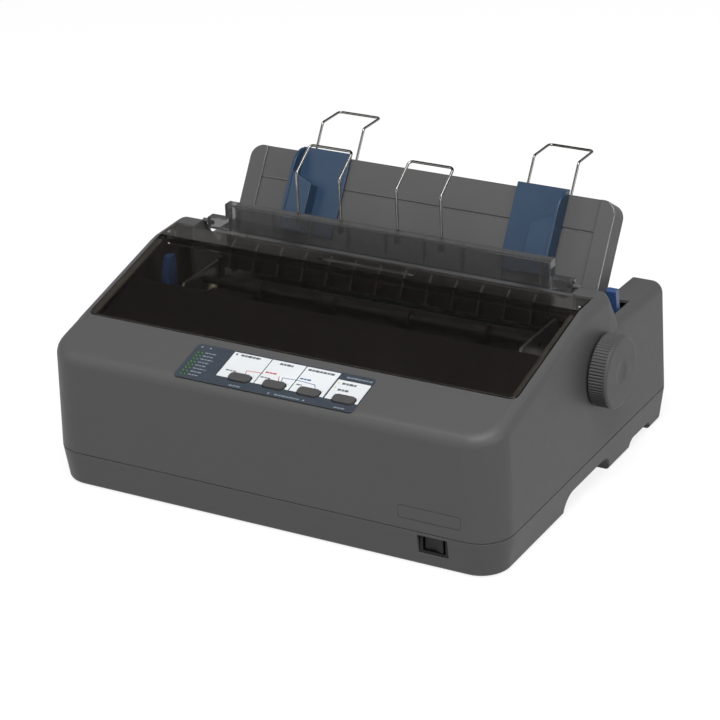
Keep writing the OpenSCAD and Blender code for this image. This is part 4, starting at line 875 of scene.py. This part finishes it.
def make_floor():
    """A white studio floor with its own material."""
    bm = bmesh.new()
    bmesh.ops.create_grid(bm, x_segments=1, y_segments=1, size=FLOOR_SIZE)
    mesh = bpy.data.meshes.new("studio_floor")
    bm.to_mesh(mesh)
    bm.free()
    material = bpy.data.materials.new("studio_white")
    material.use_nodes = True
    tree = material.node_tree
    shader = tree.nodes["Principled BSDF"]
    shader.inputs["Base Color"].default_value = (FLOOR_TONE, FLOOR_TONE, FLOOR_TONE, 1)
    shader.inputs["Roughness"].default_value = 1.0
    shader.inputs["Specular IOR Level"].default_value = 0.0
    rays = put(tree, "ShaderNodeLightPath")
    seen = maths(tree, "MAXIMUM", rays.outputs["Is Camera Ray"], rays.outputs["Is Glossy Ray"])
    seen = maths(tree, "MAXIMUM", seen, rays.outputs["Is Transmission Ray"])
    glow = put(tree, "ShaderNodeEmission", [("Strength", maths(tree, "MULTIPLY", seen, FLOOR_GLOW))])
    total = put(tree, "ShaderNodeAddShader", [(0, shader.outputs[0]), (1, glow.outputs[0])])
    tree.links.new(total.outputs[0], tree.nodes["Material Output"].inputs["Surface"])
    mesh.materials.append(material)
    floor = bpy.data.objects.new("studio_floor", mesh)
    SCENE.objects.link(floor)


def make_sky():
    """A sky that is light at the horizon and dim overhead."""
    world = bpy.data.worlds.new("studio_sky")
    bpy.context.scene.world = world
    world.use_nodes = True
    tree = world.node_tree
    direction = put(tree, "ShaderNodeTexCoord").outputs["Generated"]
    height = put(tree, "ShaderNodeSeparateXYZ", [(0, direction)]).outputs[2]
    strength = spread(tree, height, SKY_LOW, SKY_HIGH, 0.1, 0.7)
    tree.links.new(strength, tree.nodes["Background"].inputs["Strength"])
    tree.nodes["Background"].inputs["Color"].default_value = (1, 1, 1, 1)


make_floor()
make_sky()
print("floor", 2 * FLOOR_SIZE, "m across, sky from", SKY_LOW, "down to", SKY_HIGH)

# %% Studio lamps
LAMP_AIM = Vector((0, 0, 0.08))


def soft_lamp(name, place, size, power):
    """A square area lamp aimed at the middle of the printer."""
    data = bpy.data.lights.new(name, "AREA")
    data.size = size
    data.energy = power
    lamp = bpy.data.objects.new(name, data)
    lamp.location = place
    lamp.rotation_euler = (LAMP_AIM - lamp.location).to_track_quat("-Z", "Y").to_euler()
    SCENE.objects.link(lamp)


LAMPS = {
    "lamp_right": ((2.2, -0.7, 0.8), 0.9, 9),
    "lamp_above": ((0.5, -1.0, 2.6), 1.8, 80),
    "lamp_left": ((-1.8, -1.6, 1.3), 1.4, 7),
}
for name, (place, size, power) in LAMPS.items():
    soft_lamp(name, place, size, power)
print("studio lamps", len(LAMPS))

# %% [markdown]
# ## Camera
# The photograph was taken from about thirty degrees round to the right and twenty-five
# above, from nearly two metres away, with the camera rolled a little. Those numbers come
# from fitting mirrored pairs of edges and the seam. The fit held the printer's width fixed
# and drew its depth and height towards their expected sizes, so it places the camera but
# doesn't prove those sizes. The camera is built from three directions: towards it, across
# the picture and up the picture.

# %% Camera
AZIMUTH = math.radians(30.022)
ELEVATION = math.radians(24.927)
ROLL = math.radians(-2.306)
DISTANCE = 1.887
LENS_MM = 134.9
AIM = at(-0.69, 136.15, 69.16)


def place_camera():
    """A camera at the photograph's angle, distance, roll and lens."""
    back = Vector((
        math.sin(AZIMUTH) * math.cos(ELEVATION),
        -math.cos(AZIMUTH) * math.cos(ELEVATION),
        math.sin(ELEVATION),
    ))
    across = Vector((0, 0, 1)).cross(back).normalized()
    up = back.cross(across)
    turned = Matrix((across, up, back)).transposed() @ Matrix.Rotation(ROLL, 3, "Z")
    data = bpy.data.cameras.new("photo_camera")
    data.sensor_width = 36
    data.lens = LENS_MM
    data.clip_end = 100
    camera = bpy.data.objects.new("photo_camera", data)
    camera.matrix_world = Matrix.Translation(AIM + back * DISTANCE) @ turned.to_4x4()
    SCENE.objects.link(camera)
    bpy.context.scene.camera = camera


place_camera()
bpy.context.scene.view_settings.view_transform = "Standard"
print("camera", DISTANCE, "m from", [round(v, 4) for v in AIM])
